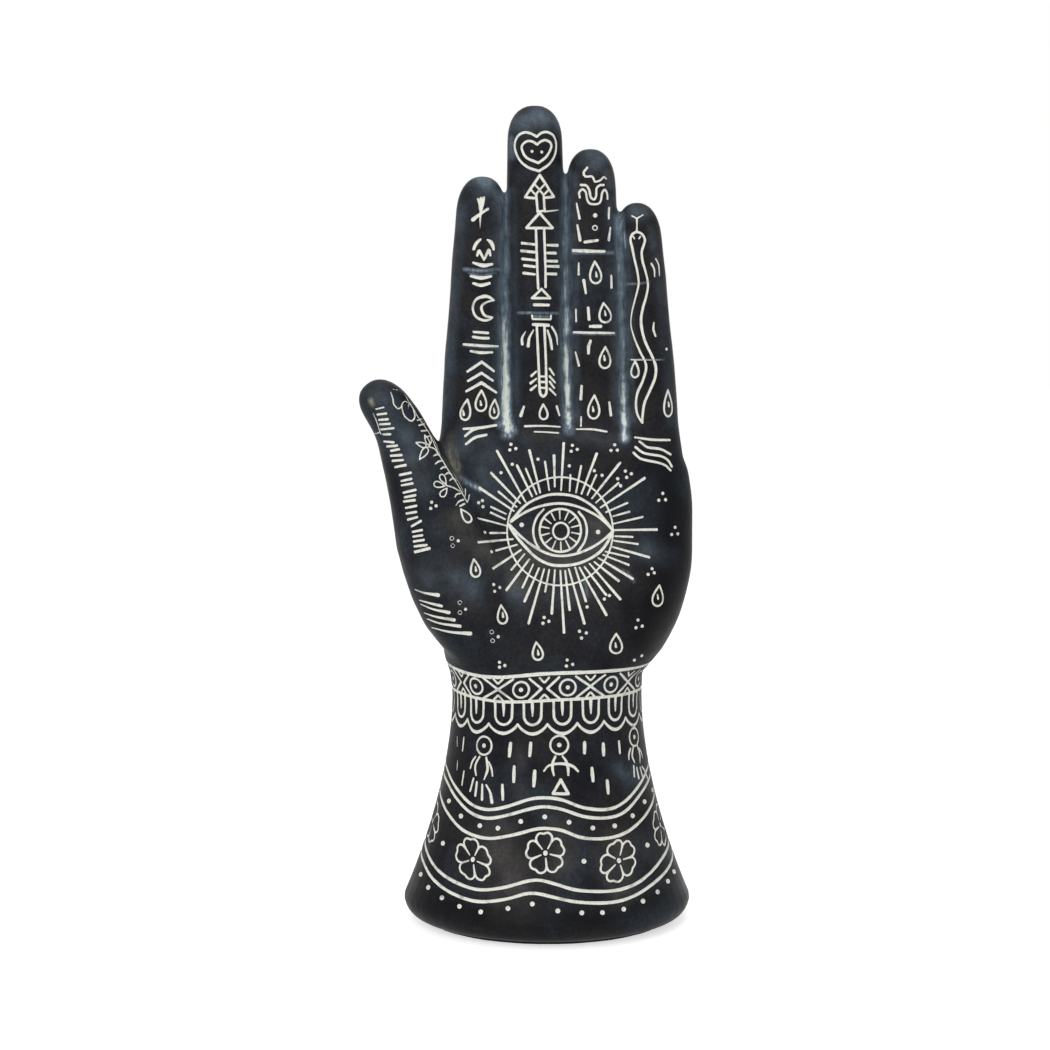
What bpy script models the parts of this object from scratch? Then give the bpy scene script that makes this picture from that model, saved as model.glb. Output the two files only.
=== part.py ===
"""Upright open left hand, cast in resin, standing on its own flared wrist.

The hand looks along -Y with its palm, its thumb is at -X and its fingers
point up along +Z. The four fingers are cast side by side and the thumb
stands off from them. The wrist and the heel of the hand are hollow, and a
plate with a felt pad under it closes the casting at the bottom.

The origin is the middle of the felt pad's underside. Metres, +Z up.
"""

import math

import bmesh
import bpy
from mathutils import Vector

# Foot of the casting
BASE_WIDTH = 0.1034
BASE_DEPTH = 0.0900
BASE_EDGE_RADIUS = 0.0070
FLARE_POWER = 1.75

# Wrist, at its narrowest
WRIST_HEIGHT = 0.0820
WRIST_WIDTH = 0.0680
WRIST_DEPTH = 0.0560

# Heights in the hand, above the narrowest place of the wrist
HEEL_START = 0.0085
HEEL_FULL = 0.0150
MOUND_HEIGHT = 0.0330
PALM_WIDEST = 0.0500
PALM_HOLLOW = 0.0660
PALM_UPPER = 0.0800
ROOT_HEIGHT = 0.0905
FINGER_FORK = 0.0965

# Edges of the palm, measured from the middle of the wrist
HEEL_RIGHT = 0.0402
MOUND_RIGHT = 0.0487
PALM_RIGHT = 0.0518
PALM_LEFT = 0.0380
FORK_INSET = 0.0016
FORK_ROUNDING = 0.0050

# Thickness of the palm in front of the wrist's middle plane and behind it
MOUND_FRONT = 0.0240
PALM_FRONT = 0.0195
HOLLOW_FRONT = 0.0175
UPPER_FRONT = 0.0160
ROOT_FRONT = 0.0128
FORK_FRONT = 0.0095
MOUND_BACK = 0.0215
PALM_BACK = 0.0180
HOLLOW_BACK = 0.0160
UPPER_BACK = 0.0142
ROOT_BACK = 0.0125
FORK_BACK = 0.0108

# Pads that swell the front of the palm: middle (x, height over the wrist),
# spread across and up, and rise. The hollow of the palm has a negative rise.
LITTLE_SIDE_PAD = (0.0330, 0.0350, 0.0130, 0.0240, 0.0030)
PALM_CUP = (0.0040, 0.0600, 0.0150, 0.0200, -0.0022)
ROOT_PAD_SPREAD = (0.0080, 0.0080)
ROOT_PAD_RISE = 0.0014
ROOT_PAD_DROP = 0.0130

# Fingers: where the middle line crosses the fork and the tip, the height of
# the tip over the fork, the widths at both ends, and the depths
INDEX_FINGER = {"fork_x": -0.0255, "tip_x": -0.0229, "length": 0.0870,
                "fork_width": 0.0251, "tip_width": 0.0165,
                "fork_depth": 0.0225, "tip_depth": 0.0150, "forward": 0.0030}
MIDDLE_FINGER = {"fork_x": -0.0034, "tip_x": -0.0046, "length": 0.1115,
                 "fork_width": 0.0236, "tip_width": 0.0188,
                 "fork_depth": 0.0235, "tip_depth": 0.0160, "forward": 0.0022}
RING_FINGER = {"fork_x": 0.0174, "tip_x": 0.0149, "length": 0.0965,
               "fork_width": 0.0226, "tip_width": 0.0166,
               "fork_depth": 0.0225, "tip_depth": 0.0150, "forward": 0.0030}
LITTLE_FINGER = {"fork_x": 0.0367, "tip_x": 0.0312, "length": 0.0778,
                 "fork_width": 0.0208, "tip_width": 0.0153,
                 "fork_depth": 0.0205, "tip_depth": 0.0132, "forward": 0.0045}
FINGERS = (INDEX_FINGER, MIDDLE_FINGER, RING_FINGER, LITTLE_FINGER)
FINGER_ROOT_DEPTH = 0.0180
FINGERTIP_LENGTH = 0.0125
JOINT_PLACES = (0.30, 0.66)
JOINT_SWELL = 0.025
JOINT_SPREAD = 0.07
FINGER_SETBACK = 0.0006

# Thumb: points of its middle line with half its width and half its depth.
# Heights are over the narrowest place of the wrist.
THUMB_LINE = (
    (-0.0100, -0.0010, 0.0010, 0.0100, 0.0120),
    (-0.0190, -0.0070, 0.0190, 0.0148, 0.0165),
    (-0.0288, -0.0100, 0.0370, 0.0181, 0.0180),
    (-0.0366, -0.0105, 0.0560, 0.0168, 0.0158),
    (-0.0426, -0.0100, 0.0720, 0.0132, 0.0122),
    (-0.0482, -0.0095, 0.0870, 0.0106, 0.0102),
    (-0.0524, -0.0095, 0.0970, 0.0093, 0.0091),
    (-0.0636, -0.0095, 0.1109, 0.0080, 0.0080),
)
THUMB_TIP_LENGTH = 0.0105
LEAN_SPAN = 0.3

# Hollow and its closing plate
WALL = 0.0065
HOLLOW_TOP = 0.0560
PLATE_RIM = 0.0095
PLATE_THICKNESS = 0.0050
PLATE_LEDGE = 0.0030
FELT_THICKNESS = 0.0015
FELT_INSET = 0.0010
CLEARANCE = 0.0003

# Roundness of the sections and fineness of the mesh
BODY_POWER = 2.0
PALM_POWER = 2.45
FINGER_POWER = 2.25
TIP_POWER = 2.35
BODY_SIDES = 56
FINGER_SIDES = 24
PLATE_SIDES = 48
EDGE_STEPS = 5
FLARE_STEPS = 14
PALM_STEPS = 24
FINGER_STEPS = 13
TIP_STEPS = 6
THUMB_STEPS = 14
HOLLOW_STEPS = 14

CASTING_BOTTOM = FELT_THICKNESS + CLEARANCE
FORK_HEIGHT = WRIST_HEIGHT + FINGER_FORK


def clear_scene():
    for item in list(bpy.data.objects):
        bpy.data.objects.remove(item, do_unlink=True)


def make_material(name, colour, roughness, metallic=0.0):
    material = bpy.data.materials.new(name)
    material.use_nodes = True
    shader = material.node_tree.nodes["Principled BSDF"]
    shader.inputs["Base Color"].default_value = (*colour, 1.0)
    shader.inputs["Roughness"].default_value = roughness
    shader.inputs["Metallic"].default_value = metallic
    return material


# Curves and sections

def slopes(places, values):
    """Slopes of a smooth curve through the values that never overshoots them."""
    steps = [(values[i + 1] - values[i]) / (places[i + 1] - places[i])
             for i in range(len(places) - 1)]
    result = [steps[0]]
    for before, after in zip(steps, steps[1:]):
        result.append(0.0 if before * after <= 0 else 2 * before * after / (before + after))
    result.append(steps[-1])
    return result


def smooth_value(places, values, place):
    """Value of that curve at one place."""
    tangent = slopes(places, values)
    i = 0
    while i < len(places) - 2 and place > places[i + 1]:
        i += 1
    span = places[i + 1] - places[i]
    t = (place - places[i]) / span
    return ((2 * t ** 3 - 3 * t ** 2 + 1) * values[i]
            + (t ** 3 - 2 * t ** 2 + t) * span * tangent[i]
            + (3 * t ** 2 - 2 * t ** 3) * values[i + 1]
            + (t ** 3 - t ** 2) * span * tangent[i + 1])


def signed_power(value, exponent):
    return math.copysign(abs(value) ** exponent, value)


def mixed(low, high, share):
    return low + (high - low) * share


def flat_section(height, left, right, front, back, power, sides):
    """Level ring: left and right are its edges, front and back its two depths."""
    middle = (left + right) / 2
    half_width = (right - left) / 2
    ring = []
    for i in range(sides):
        angle = 2 * math.pi * i / sides
        x = middle + half_width * signed_power(math.cos(angle), 2 / power)
        reach = signed_power(math.sin(angle), 2 / power)
        ring.append(Vector((x, reach * (back if reach > 0 else front), height)))
    return ring


def tilted_section(centre, half_width, half_depth, direction, power, sides):
    """Ring square to a direction that leans in the X-Z plane."""
    across = Vector((direction.z, 0.0, -direction.x)).normalized()
    ring = []
    for i in range(sides):
        angle = 2 * math.pi * i / sides
        ring.append(centre
                    + across * half_width * signed_power(math.cos(angle), 2 / power)
                    + Vector((0, 1, 0)) * half_depth * signed_power(math.sin(angle), 2 / power))
    return ring


def loft(name, rings):
    """Closed skin over a stack of rings, with a flat cap at each end."""
    mesh = bpy.data.meshes.new(name)
    skin = bmesh.new()
    loops = [[skin.verts.new(point) for point in ring] for ring in rings]
    count = len(loops[0])
    for lower, upper in zip(loops, loops[1:]):
        for i in range(count):
            k = (i + 1) % count
            skin.faces.new((lower[i], lower[k], upper[k], upper[i]))
    skin.faces.new(list(reversed(loops[0])))
    skin.faces.new(loops[-1])
    bmesh.ops.recalc_face_normals(skin, faces=skin.faces)
    skin.to_mesh(mesh)
    skin.free()
    item = bpy.data.objects.new(name, mesh)
    bpy.context.scene.collection.objects.link(item)
    return item


# Foot, flare and wrist

def flare_share(height):
    """0 at the wrist and 1 at the widest place of the foot."""
    widest = CASTING_BOTTOM + BASE_EDGE_RADIUS
    return ((WRIST_HEIGHT - height) / (WRIST_HEIGHT - widest)) ** FLARE_POWER


def flare_half_sizes(height):
    share = flare_share(height)
    return (mixed(WRIST_WIDTH / 2, BASE_WIDTH / 2, share),
            mixed(WRIST_DEPTH / 2, BASE_DEPTH / 2, share))


def oval(height, half_width, half_depth, sides=BODY_SIDES):
    return flat_section(height, -half_width, half_width, half_depth, half_depth,
                        BODY_POWER, sides)


def foot_rings():
    """Quarter-round edge from the flat underside to the widest place."""
    rings = []
    for i in range(EDGE_STEPS):
        angle = math.pi / 2 * i / EDGE_STEPS
        inset = BASE_EDGE_RADIUS * (1 - math.sin(angle))
        rise = BASE_EDGE_RADIUS * (1 - math.cos(angle))
        rings.append(oval(CASTING_BOTTOM + rise, BASE_WIDTH / 2 - inset, BASE_DEPTH / 2 - inset))
    return rings


def flare_rings():
    widest = CASTING_BOTTOM + BASE_EDGE_RADIUS
    heights = [mixed(widest, WRIST_HEIGHT, i / FLARE_STEPS) for i in range(FLARE_STEPS)]
    return [oval(height, *flare_half_sizes(height)) for height in heights]


# Palm

def palm_keys():
    """Heights over the wrist with the palm's left, right, front and back there."""
    return (
        (0.0, WRIST_WIDTH / 2, WRIST_WIDTH / 2, WRIST_DEPTH / 2, WRIST_DEPTH / 2),
        (HEEL_START, WRIST_WIDTH / 2 + 0.0009, WRIST_WIDTH / 2 + 0.0003,
         WRIST_DEPTH / 2 - 0.0004, WRIST_DEPTH / 2 - 0.0015),
        (HEEL_FULL, mixed(WRIST_WIDTH / 2, PALM_LEFT, 0.8), HEEL_RIGHT,
         mixed(WRIST_DEPTH / 2, MOUND_FRONT, 0.4), mixed(WRIST_DEPTH / 2, MOUND_BACK, 0.5)),
        (MOUND_HEIGHT, PALM_LEFT, MOUND_RIGHT, MOUND_FRONT, MOUND_BACK),
        (PALM_WIDEST, PALM_LEFT, PALM_RIGHT, PALM_FRONT, PALM_BACK),
        (PALM_HOLLOW, PALM_LEFT, PALM_RIGHT, HOLLOW_FRONT, HOLLOW_BACK),
        (PALM_UPPER, PALM_LEFT, mixed(PALM_RIGHT, finger_right_edge(), 0.35),
         UPPER_FRONT, UPPER_BACK),
        (ROOT_HEIGHT, PALM_LEFT - FORK_INSET / 2, finger_right_edge() - FORK_INSET / 2,
         ROOT_FRONT, ROOT_BACK),
        (FINGER_FORK, PALM_LEFT - FORK_INSET, finger_right_edge() - FORK_INSET,
         FORK_FRONT, FORK_BACK),
        (FINGER_FORK + FORK_ROUNDING, PALM_LEFT - 3 * FORK_INSET,
         finger_right_edge() - 3 * FORK_INSET, 0.5 * FORK_FRONT, 0.5 * FORK_BACK),
    )


def finger_right_edge():
    return LITTLE_FINGER["fork_x"] + LITTLE_FINGER["fork_width"] / 2


def palm_sizes(over_wrist):
    keys = palm_keys()
    places = [key[0] for key in keys]
    return [smooth_value(places, [key[k] for key in keys], over_wrist) for k in range(1, 5)]


def swell(point, pad):
    """Rise of one pad of the palm at a point."""
    x, over_wrist, across, up, rise = pad
    reach = ((point.x - x) / across) ** 2 + ((point.z - WRIST_HEIGHT - over_wrist) / up) ** 2
    return rise * math.exp(-reach)


def palm_pads():
    roots = [(finger["fork_x"], FINGER_FORK - ROOT_PAD_DROP, *ROOT_PAD_SPREAD, ROOT_PAD_RISE)
             for finger in FINGERS]
    return [LITTLE_SIDE_PAD, PALM_CUP, *roots]


def palm_rings():
    top = FINGER_FORK + FORK_ROUNDING
    rings = []
    for i in range(PALM_STEPS + 1):
        over_wrist = top * i / PALM_STEPS
        left, right, front, back = palm_sizes(over_wrist)
        share = min(1.0, over_wrist / MOUND_HEIGHT)
        ring = flat_section(WRIST_HEIGHT + over_wrist, -left, right, front, back,
                            mixed(BODY_POWER, PALM_POWER, share), BODY_SIDES)
        for point in ring:
            facing = max(0.0, -point.y / front)
            point.y -= facing * sum(swell(point, pad) for pad in palm_pads())
        rings.append(ring)
    return rings


# Fingers and thumb

def finger_rings(finger):
    """Tapering finger with slight swellings at its joints and a rounded tip."""
    start = -FINGER_ROOT_DEPTH
    length = finger["length"]
    heights = [mixed(start, length - FINGERTIP_LENGTH, i / FINGER_STEPS)
               for i in range(FINGER_STEPS)]
    angles = [math.pi / 2 * i / TIP_STEPS for i in range(TIP_STEPS)] + [math.radians(87)]
    heights += [length - FINGERTIP_LENGTH * (1 - math.sin(angle)) for angle in angles]
    rings = []
    for height in heights:
        share = height / length
        into_tip = max(0.0, (height - length + FINGERTIP_LENGTH) / FINGERTIP_LENGTH)
        rounding = (1 - into_tip ** TIP_POWER) ** (1 / TIP_POWER)
        joints = sum(math.exp(-((share - place) / JOINT_SPREAD) ** 2) for place in JOINT_PLACES)
        scale = rounding * (1 + JOINT_SWELL * joints) / 2
        centre = Vector((mixed(finger["fork_x"], finger["tip_x"], share),
                         FINGER_SETBACK - finger["forward"] * max(0.0, share) ** 2,
                         FORK_HEIGHT + height))
        rings.append(tilted_section(
            centre, mixed(finger["fork_width"], finger["tip_width"], share) * scale,
            mixed(finger["fork_depth"], finger["tip_depth"], share) * scale,
            Vector((0, 0, 1)), FINGER_POWER, FINGER_SIDES))
    return rings


def thumb_point(place):
    columns = zip(*THUMB_LINE)
    places = list(range(len(THUMB_LINE)))
    return [smooth_value(places, column, place) for column in columns]


def thumb_rings():
    """Thumb and its fleshy root along one leaning line."""
    last = len(THUMB_LINE) - 1
    end = Vector(thumb_point(last)[:3])
    before = Vector(thumb_point(last - 1)[:3])
    tip_share = THUMB_TIP_LENGTH / (end - before).length
    places = [mixed(0, last - tip_share, i / THUMB_STEPS) for i in range(THUMB_STEPS)]
    angles = [math.pi / 2 * i / TIP_STEPS for i in range(TIP_STEPS)] + [math.radians(87)]
    places += [last - tip_share * (1 - math.sin(angle)) for angle in angles]
    rings = []
    for place in places:
        x, y, z, half_width, half_depth = thumb_point(place)
        ahead = Vector(thumb_point(min(last, place + LEAN_SPAN))[:3])
        behind = Vector(thumb_point(max(0, place - LEAN_SPAN))[:3])
        direction = (ahead - behind).normalized()
        into_tip = max(0.0, (place - last + tip_share) / tip_share)
        rounding = (1 - into_tip ** TIP_POWER) ** (1 / TIP_POWER)
        rings.append(tilted_section(Vector((x, y, WRIST_HEIGHT + z)), half_width * rounding,
                                    half_depth * rounding, direction, FINGER_POWER,
                                    FINGER_SIDES))
    return rings


# Hollow, plate and felt

def flat_half_sizes():
    """Half the width and depth of the flat underside."""
    return BASE_WIDTH / 2 - BASE_EDGE_RADIUS, BASE_DEPTH / 2 - BASE_EDGE_RADIUS


def hollow_rings():
    """Inside of the casting, one wall thickness in, open at the underside."""
    wide, deep = flat_half_sizes()
    mouth = PLATE_RIM + PLATE_LEDGE
    rings = [oval(CASTING_BOTTOM - WALL, wide - mouth, deep - mouth, PLATE_SIDES),
             oval(CASTING_BOTTOM + PLATE_THICKNESS + PLATE_LEDGE,
                  wide - mouth, deep - mouth, PLATE_SIDES)]
    start = CASTING_BOTTOM + PLATE_THICKNESS + 2 * PLATE_LEDGE
    top = WRIST_HEIGHT + HOLLOW_TOP
    for i in range(HOLLOW_STEPS):
        height = mixed(start, top, math.sin(math.pi / 2 * (i + 1) / (HOLLOW_STEPS + 1)))
        if height < WRIST_HEIGHT:
            half_width, half_depth = flare_half_sizes(height)
            left, right, front, back = half_width, half_width, half_depth, half_depth
        else:
            left, right, front, back = palm_sizes(height - WRIST_HEIGHT)
        dome = math.sqrt(max(0.02, 1 - ((height - start) / (top - start)) ** 4))
        rings.append(flat_section(height, -(left - WALL) * dome, (right - WALL) * dome,
                                  (front - WALL) * dome, (back - WALL) * dome,
                                  BODY_POWER, PLATE_SIDES))
    return rings


def slab(name, half_width, half_depth, bottom, thickness):
    item = loft(name, [oval(bottom, half_width, half_depth, PLATE_SIDES),
                       oval(bottom + thickness, half_width, half_depth, PLATE_SIDES)])
    return item


# Assembly

def as_tool(item):
    item.hide_render = True
    item.display_type = "WIRE"


def combine(target, tool, operation):
    modifier = target.modifiers.new(tool.name, "BOOLEAN")
    modifier.operation = operation
    modifier.solver = "EXACT"
    modifier.object = tool
    as_tool(tool)


def finish(item, material, smooth_angle=40):
    item.data.materials.append(material)
    item.data.shade_smooth()
    item.data.set_sharp_from_angle(angle=math.radians(smooth_angle))


def build_casting(material):
    casting = loft("hand_casting", foot_rings() + flare_rings() + palm_rings())
    for number, finger in enumerate(FINGERS, 1):
        combine(casting, loft(f"finger_form_{number}", finger_rings(finger)), "UNION")
    combine(casting, loft("thumb_form", thumb_rings()), "UNION")
    combine(casting, loft("hollow_form", hollow_rings()), "DIFFERENCE")
    wide, deep = flat_half_sizes()
    seat = slab("plate_seat_form", wide - PLATE_RIM, deep - PLATE_RIM,
                CASTING_BOTTOM - PLATE_THICKNESS, 2 * PLATE_THICKNESS + CLEARANCE)
    combine(casting, seat, "DIFFERENCE")
    finish(casting, material)
    return casting


def build_plate(material):
    wide, deep = flat_half_sizes()
    inset = PLATE_RIM + CLEARANCE
    plate = slab("closing_plate", wide - inset, deep - inset, CASTING_BOTTOM, PLATE_THICKNESS)
    finish(plate, material)
    return plate


def build_felt(material):
    wide, deep = flat_half_sizes()
    felt = slab("felt_pad", wide - FELT_INSET, deep - FELT_INSET, 0.0, FELT_THICKNESS)
    finish(felt, material)
    return felt


def main():
    clear_scene()
    resin = make_material("dark_cast_resin", (0.018, 0.021, 0.030), 0.5)
    plate_resin = make_material("closing_plate_resin", (0.045, 0.045, 0.048), 0.7)
    felt = make_material("felt", (0.030, 0.030, 0.034), 0.95)
    build_casting(resin)
    build_plate(plate_resin)
    build_felt(felt)


main()
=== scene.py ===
import math

import bpy
import numpy as np
from mathutils import Euler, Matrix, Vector
from mathutils.bvhtree import BVHTree
from mathutils.kdtree import KDTree


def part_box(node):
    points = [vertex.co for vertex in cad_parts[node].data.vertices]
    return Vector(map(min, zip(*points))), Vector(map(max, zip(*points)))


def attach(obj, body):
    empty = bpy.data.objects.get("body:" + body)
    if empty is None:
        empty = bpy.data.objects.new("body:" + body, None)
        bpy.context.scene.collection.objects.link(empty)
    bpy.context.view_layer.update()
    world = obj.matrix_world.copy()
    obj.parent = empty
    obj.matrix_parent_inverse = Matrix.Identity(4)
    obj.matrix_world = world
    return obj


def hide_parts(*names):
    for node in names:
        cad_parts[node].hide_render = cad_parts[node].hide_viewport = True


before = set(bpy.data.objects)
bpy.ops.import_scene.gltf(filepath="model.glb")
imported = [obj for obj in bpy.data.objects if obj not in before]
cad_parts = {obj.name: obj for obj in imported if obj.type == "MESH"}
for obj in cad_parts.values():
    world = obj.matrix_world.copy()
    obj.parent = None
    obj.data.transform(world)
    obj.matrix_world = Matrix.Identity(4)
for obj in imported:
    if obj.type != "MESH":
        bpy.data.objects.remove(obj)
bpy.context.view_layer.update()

MM = 0.001

# The photograph's camera
PHOTO_PIXELS = 1050
CAMERA_PLACE = Vector((-0.0079, -0.750, 0.215))
CAMERA_PITCH = math.radians(5.51)
CAMERA_LENS_MM = 72.4
SENSOR_MM = 36.0
FOCAL_PIXELS = CAMERA_LENS_MM / SENSOR_MM * PHOTO_PIXELS
AHEAD = Vector((0, math.cos(CAMERA_PITCH), -math.sin(CAMERA_PITCH)))
UPWARD = Vector((0, math.sin(CAMERA_PITCH), math.cos(CAMERA_PITCH)))

# The skin's mesh
SKIN_VOXEL = 0.0008
SKIN_SMOOTHING = 24
FORK_SMOOTHING = 60
FINE_EDGE = 0.00040
COARSE_EDGE = 0.0017
CREASE_EDGE = 0.0007
FINE_REACH = 0.00030
REFINE_PASSES = 4
SNAP_SHARE = 0.12
# Past this many pixels from a crease, edges may be longer by so much for each pixel
CREASE_REACH = 4
CREASE_EASE = 0.0004
# Where the fingers leave the palm and the thumb leaves the hand, the skin is smoothed more
FORK_HEIGHT = 0.1785
FORK_REACH = 0.007
THUMB_ROOT = (-0.030, -0.022, 0.105)
THUMB_ROOT_REACH = 0.018

# How the lines are carved
GROOVE_DEPTH = 0.00034
GROOVE_WALL = 0.00026
GROOVE_LIP = 0.00014
HEART_REACH = 0.0004
SAMPLE_STEP_MM = 0.13
LINE_SHARE = 0.90
HAND_SHAKE = 0.07
SHAKE_STEPS = (0.11, 0.043)
SHAKE_SEED = 7
# A degree round the wrist or foot counts as this many millimetres when places are spaced
TURN_MM = 0.62
# How far from the middle the search for the skin starts
OUTSIDE = 0.2
CURVE_STEPS = 24
# A drop's points, how its sides taper to the tip, and the widest of that taper
DROP_POINTS = 29
DROP_TAPER = 1.15
DROP_WIDEST = 0.79

# Heights on the wrist and the foot, in millimetres
BAND_TOP_MM = 93.0
BAND_BOTTOM_MM = 84.6
BAND_CELLS = 12
BAND_SAG_MM = 1.35
BAND_SAG_PLACE = -36.0
BAND_SAG_REACH = 30.0
TOP_LINE_MM = 93.8
TOP_LINE_SAG_MM = 2.2
TOP_LINE_SAG_PLACE = -44.0
# The scallops hang lower still at the thumb's side
LOW_SAG_MM = 1.2
LOW_SAG_PLACE = -50.0
LOW_SAG_REACH = 13.0
# The first cell on the thumb's side stands a little further out than an even share
CELL_SHIFT_MM = 1.5
CELL_SHIFT_PLACE_MM = -26.0
CELL_SHIFT_REACH_MM = 6.5
CELL_START_MM = -1.2
CELL_RING_MM = (2.8, 2.75)
CELL_DOT_MM = 0.4
# Every fifth crossing's arms stay apart, the others meet
OPEN_CROSSINGS = 5
CROSSING_GAP_MM = 1.0
CROSSING_SHARE = 0.32
CROSSING_INSET_MM = 0.5
CUP_HALF_MM = 1.6
CUP_FLOOR_MM = 0.2
CUP_DEPTH_MM = 1.5
LOOPS = 19
LOOP_START_MM = -0.1
LOOP_HALF_MM = 3.0
LOOP_DEPTH_MM = 3.5
LOOP_SPLAY_MM = 0.1
LOOP_END_MM = 76.0
DASH_LEAN_MM = 0.1
DASH_DROP_MM = 5.4
SCALLOP_CUSP_MM = 76.2
SCALLOP_LOW_MM = 72.7
SCALLOP_BULGE = 0.8
HEAD_HEIGHT_MM = 68.8


# Lines through a few points


def smooth_path(points, closed):
    """A curve through the points, as many short steps."""
    points = np.array(points, float)
    if closed:
        points = np.vstack([points, points[:1]])
        before, after = points[-2], points[1]
    else:
        before = 2 * points[0] - points[1]
        after = 2 * points[-1] - points[-2]
    padded = np.vstack([before, points, after])
    t = np.linspace(0, 1, CURVE_STEPS, endpoint=False)[:, None]
    runs = []
    for a, b, c, d in zip(padded, padded[1:], padded[2:], padded[3:]):
        bend = 2 * a - 5 * b + 4 * c - d
        turn = 3 * b - a - 3 * c + d
        runs.append(0.5 * (2 * b + (c - a) * t + bend * t**2 + turn * t**3))
    runs.append(points[-1:])
    return np.vstack(runs)


def spaced(points, step, closed=False, smooth=True):
    """Even places along the line through the points, and each place's share of the length."""
    points = np.array(points, float)
    if smooth and len(points) > 2:
        path = smooth_path(points, closed)
    elif closed:
        path = np.vstack([points, points[:1]])
    else:
        path = points
    lengths = np.linalg.norm(np.diff(path, axis=0), axis=1)
    along = np.concatenate([[0.0], np.cumsum(lengths)])
    count = max(2, int(math.ceil(along[-1] / step)) + 1)
    wanted = np.linspace(0, along[-1], count)
    places = np.stack([np.interp(wanted, along, path[:, i]) for i in range(2)], axis=1)
    return places, wanted / max(along[-1], 1e-9)


def circle(centre, across, tall=None, count=20):
    """Points round an oval of those half sizes."""
    tall = across if tall is None else tall
    turn = np.arange(count) * 2 * math.pi / count
    return np.stack([centre[0] + across * np.sin(turn), centre[1] + tall * np.cos(turn)], axis=1)


def drop_outline(tip, end, half):
    """Points round a drop with a sharp tip, a round end and that half width."""
    tip, end = np.array(tip, float), np.array(end, float)
    axis = end - tip
    side = np.array([axis[1], -axis[0]]) / np.linalg.norm(axis)
    turn = np.linspace(0, 2 * math.pi, DROP_POINTS)
    out = np.sin(turn) * np.sin(turn / 2) ** DROP_TAPER / DROP_WIDEST
    down = (1 - np.cos(turn)) / 2
    return tip + np.outer(down, axis) + np.outer(out * half, side)


def heading(turn):
    """The direction at that turn from the second axis."""
    return np.array([math.sin(turn), math.cos(turn)])


# The skin as arrays


def linked(name, data):
    """A new object of the data, in the scene."""
    made = bpy.data.objects.new(name, data)
    bpy.context.scene.collection.objects.link(made)
    return made


def even_skin(node):
    """The node's surface as an even mesh: its points and triangles."""
    mesh = node.data.copy()
    work = linked("skin_work", mesh)
    weld = work.modifiers.new("weld", "WELD")
    weld.merge_threshold = 1e-6
    even = work.modifiers.new("even", "REMESH")
    even.mode = "VOXEL"
    even.voxel_size = SKIN_VOXEL
    made = bpy.data.meshes.new_from_object(
        work.evaluated_get(bpy.context.evaluated_depsgraph_get())
    )
    points = np.zeros(len(made.vertices) * 3)
    made.vertices.foreach_get("co", points)
    made.calc_loop_triangles()
    tris = np.zeros(len(made.loop_triangles) * 3, int)
    made.loop_triangles.foreach_get("vertices", tris)
    bpy.data.objects.remove(work)
    bpy.data.meshes.remove(mesh)
    bpy.data.meshes.remove(made)
    return points.reshape(-1, 3), tris.reshape(-1, 3)


def edges_of(tris):
    """Each edge once, and for each triangle the numbers of its three edges."""
    pairs = np.stack([tris, np.roll(tris, -1, axis=1)], axis=2).reshape(-1, 2)
    pairs.sort(axis=1)
    size = int(tris.max()) + 1
    keys, number = np.unique(pairs[:, 0] * size + pairs[:, 1], return_inverse=True)
    edges = np.stack([keys // size, keys % size], axis=1)
    return edges, number.reshape(-1, 3)


def spread(edges, values, count):
    """The sum over each point's neighbours of their values."""
    total = np.zeros((count, values.shape[1]))
    for i in range(values.shape[1]):
        total[:, i] += np.bincount(edges[:, 0], values[edges[:, 1], i], count)
        total[:, i] += np.bincount(edges[:, 1], values[edges[:, 0], i], count)
    return total


def smoothed(points, tris, rounds, weight=None, keep_volume=True):
    """The points after rounds of evening out, where weight is 1."""
    edges, _ = edges_of(tris)
    count = len(points)
    near = np.bincount(edges.ravel(), minlength=count)[:, None]
    weight = 1.0 if weight is None else weight[:, None]
    for _ in range(rounds):
        for step in (0.6, -0.62) if keep_volume else (0.6,):
            pull = spread(edges, points, count) / near - points
            points = points + step * weight * pull
    return points


def normals_of(points, tris):
    """A unit normal at each point."""
    a, b, c = (points[tris[:, i]] for i in range(3))
    faces = np.cross(b - a, c - a)
    normals = np.zeros_like(points)
    for i in range(3):
        for axis in range(3):
            normals[:, axis] += np.bincount(tris[:, i], faces[:, axis], len(points))
    return normals / np.maximum(np.linalg.norm(normals, axis=1, keepdims=True), 1e-12)


def split(tris, number, marked, middle):
    """Cuts the triangles at their marked edges. middle is each edge's new point."""
    on = marked[number]
    how_many = on.sum(axis=1)
    parts = [tris[how_many == 0]]
    one = how_many == 1
    if one.any():
        turn = on[one].argmax(axis=1)
        t, n = turned(tris[one], turn), turned(number[one], turn)
        m = middle[n[:, 0]]
        parts += [columns(t[:, 0], m, t[:, 2]), columns(m, t[:, 1], t[:, 2])]
    two = how_many == 2
    if two.any():
        turn = ((~on[two]).argmax(axis=1) + 1) % 3
        t, n = turned(tris[two], turn), turned(number[two], turn)
        a, b = middle[n[:, 0]], middle[n[:, 1]]
        parts += [columns(a, t[:, 1], b), columns(t[:, 0], a, b), columns(t[:, 0], b, t[:, 2])]
    three = how_many == 3
    if three.any():
        t = tris[three]
        a, b, c = (middle[number[three][:, i]] for i in range(3))
        parts += [columns(t[:, 0], a, c), columns(a, t[:, 1], b)]
        parts += [columns(c, b, t[:, 2]), columns(a, b, c)]
    return np.vstack(parts)


def turned(rows, turn):
    """Each row of three, started from its own place."""
    order = (np.arange(3)[None, :] + turn[:, None]) % 3
    return np.take_along_axis(rows, order, axis=1)


def columns(a, b, c):
    return np.stack([a, b, c], axis=1)


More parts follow.
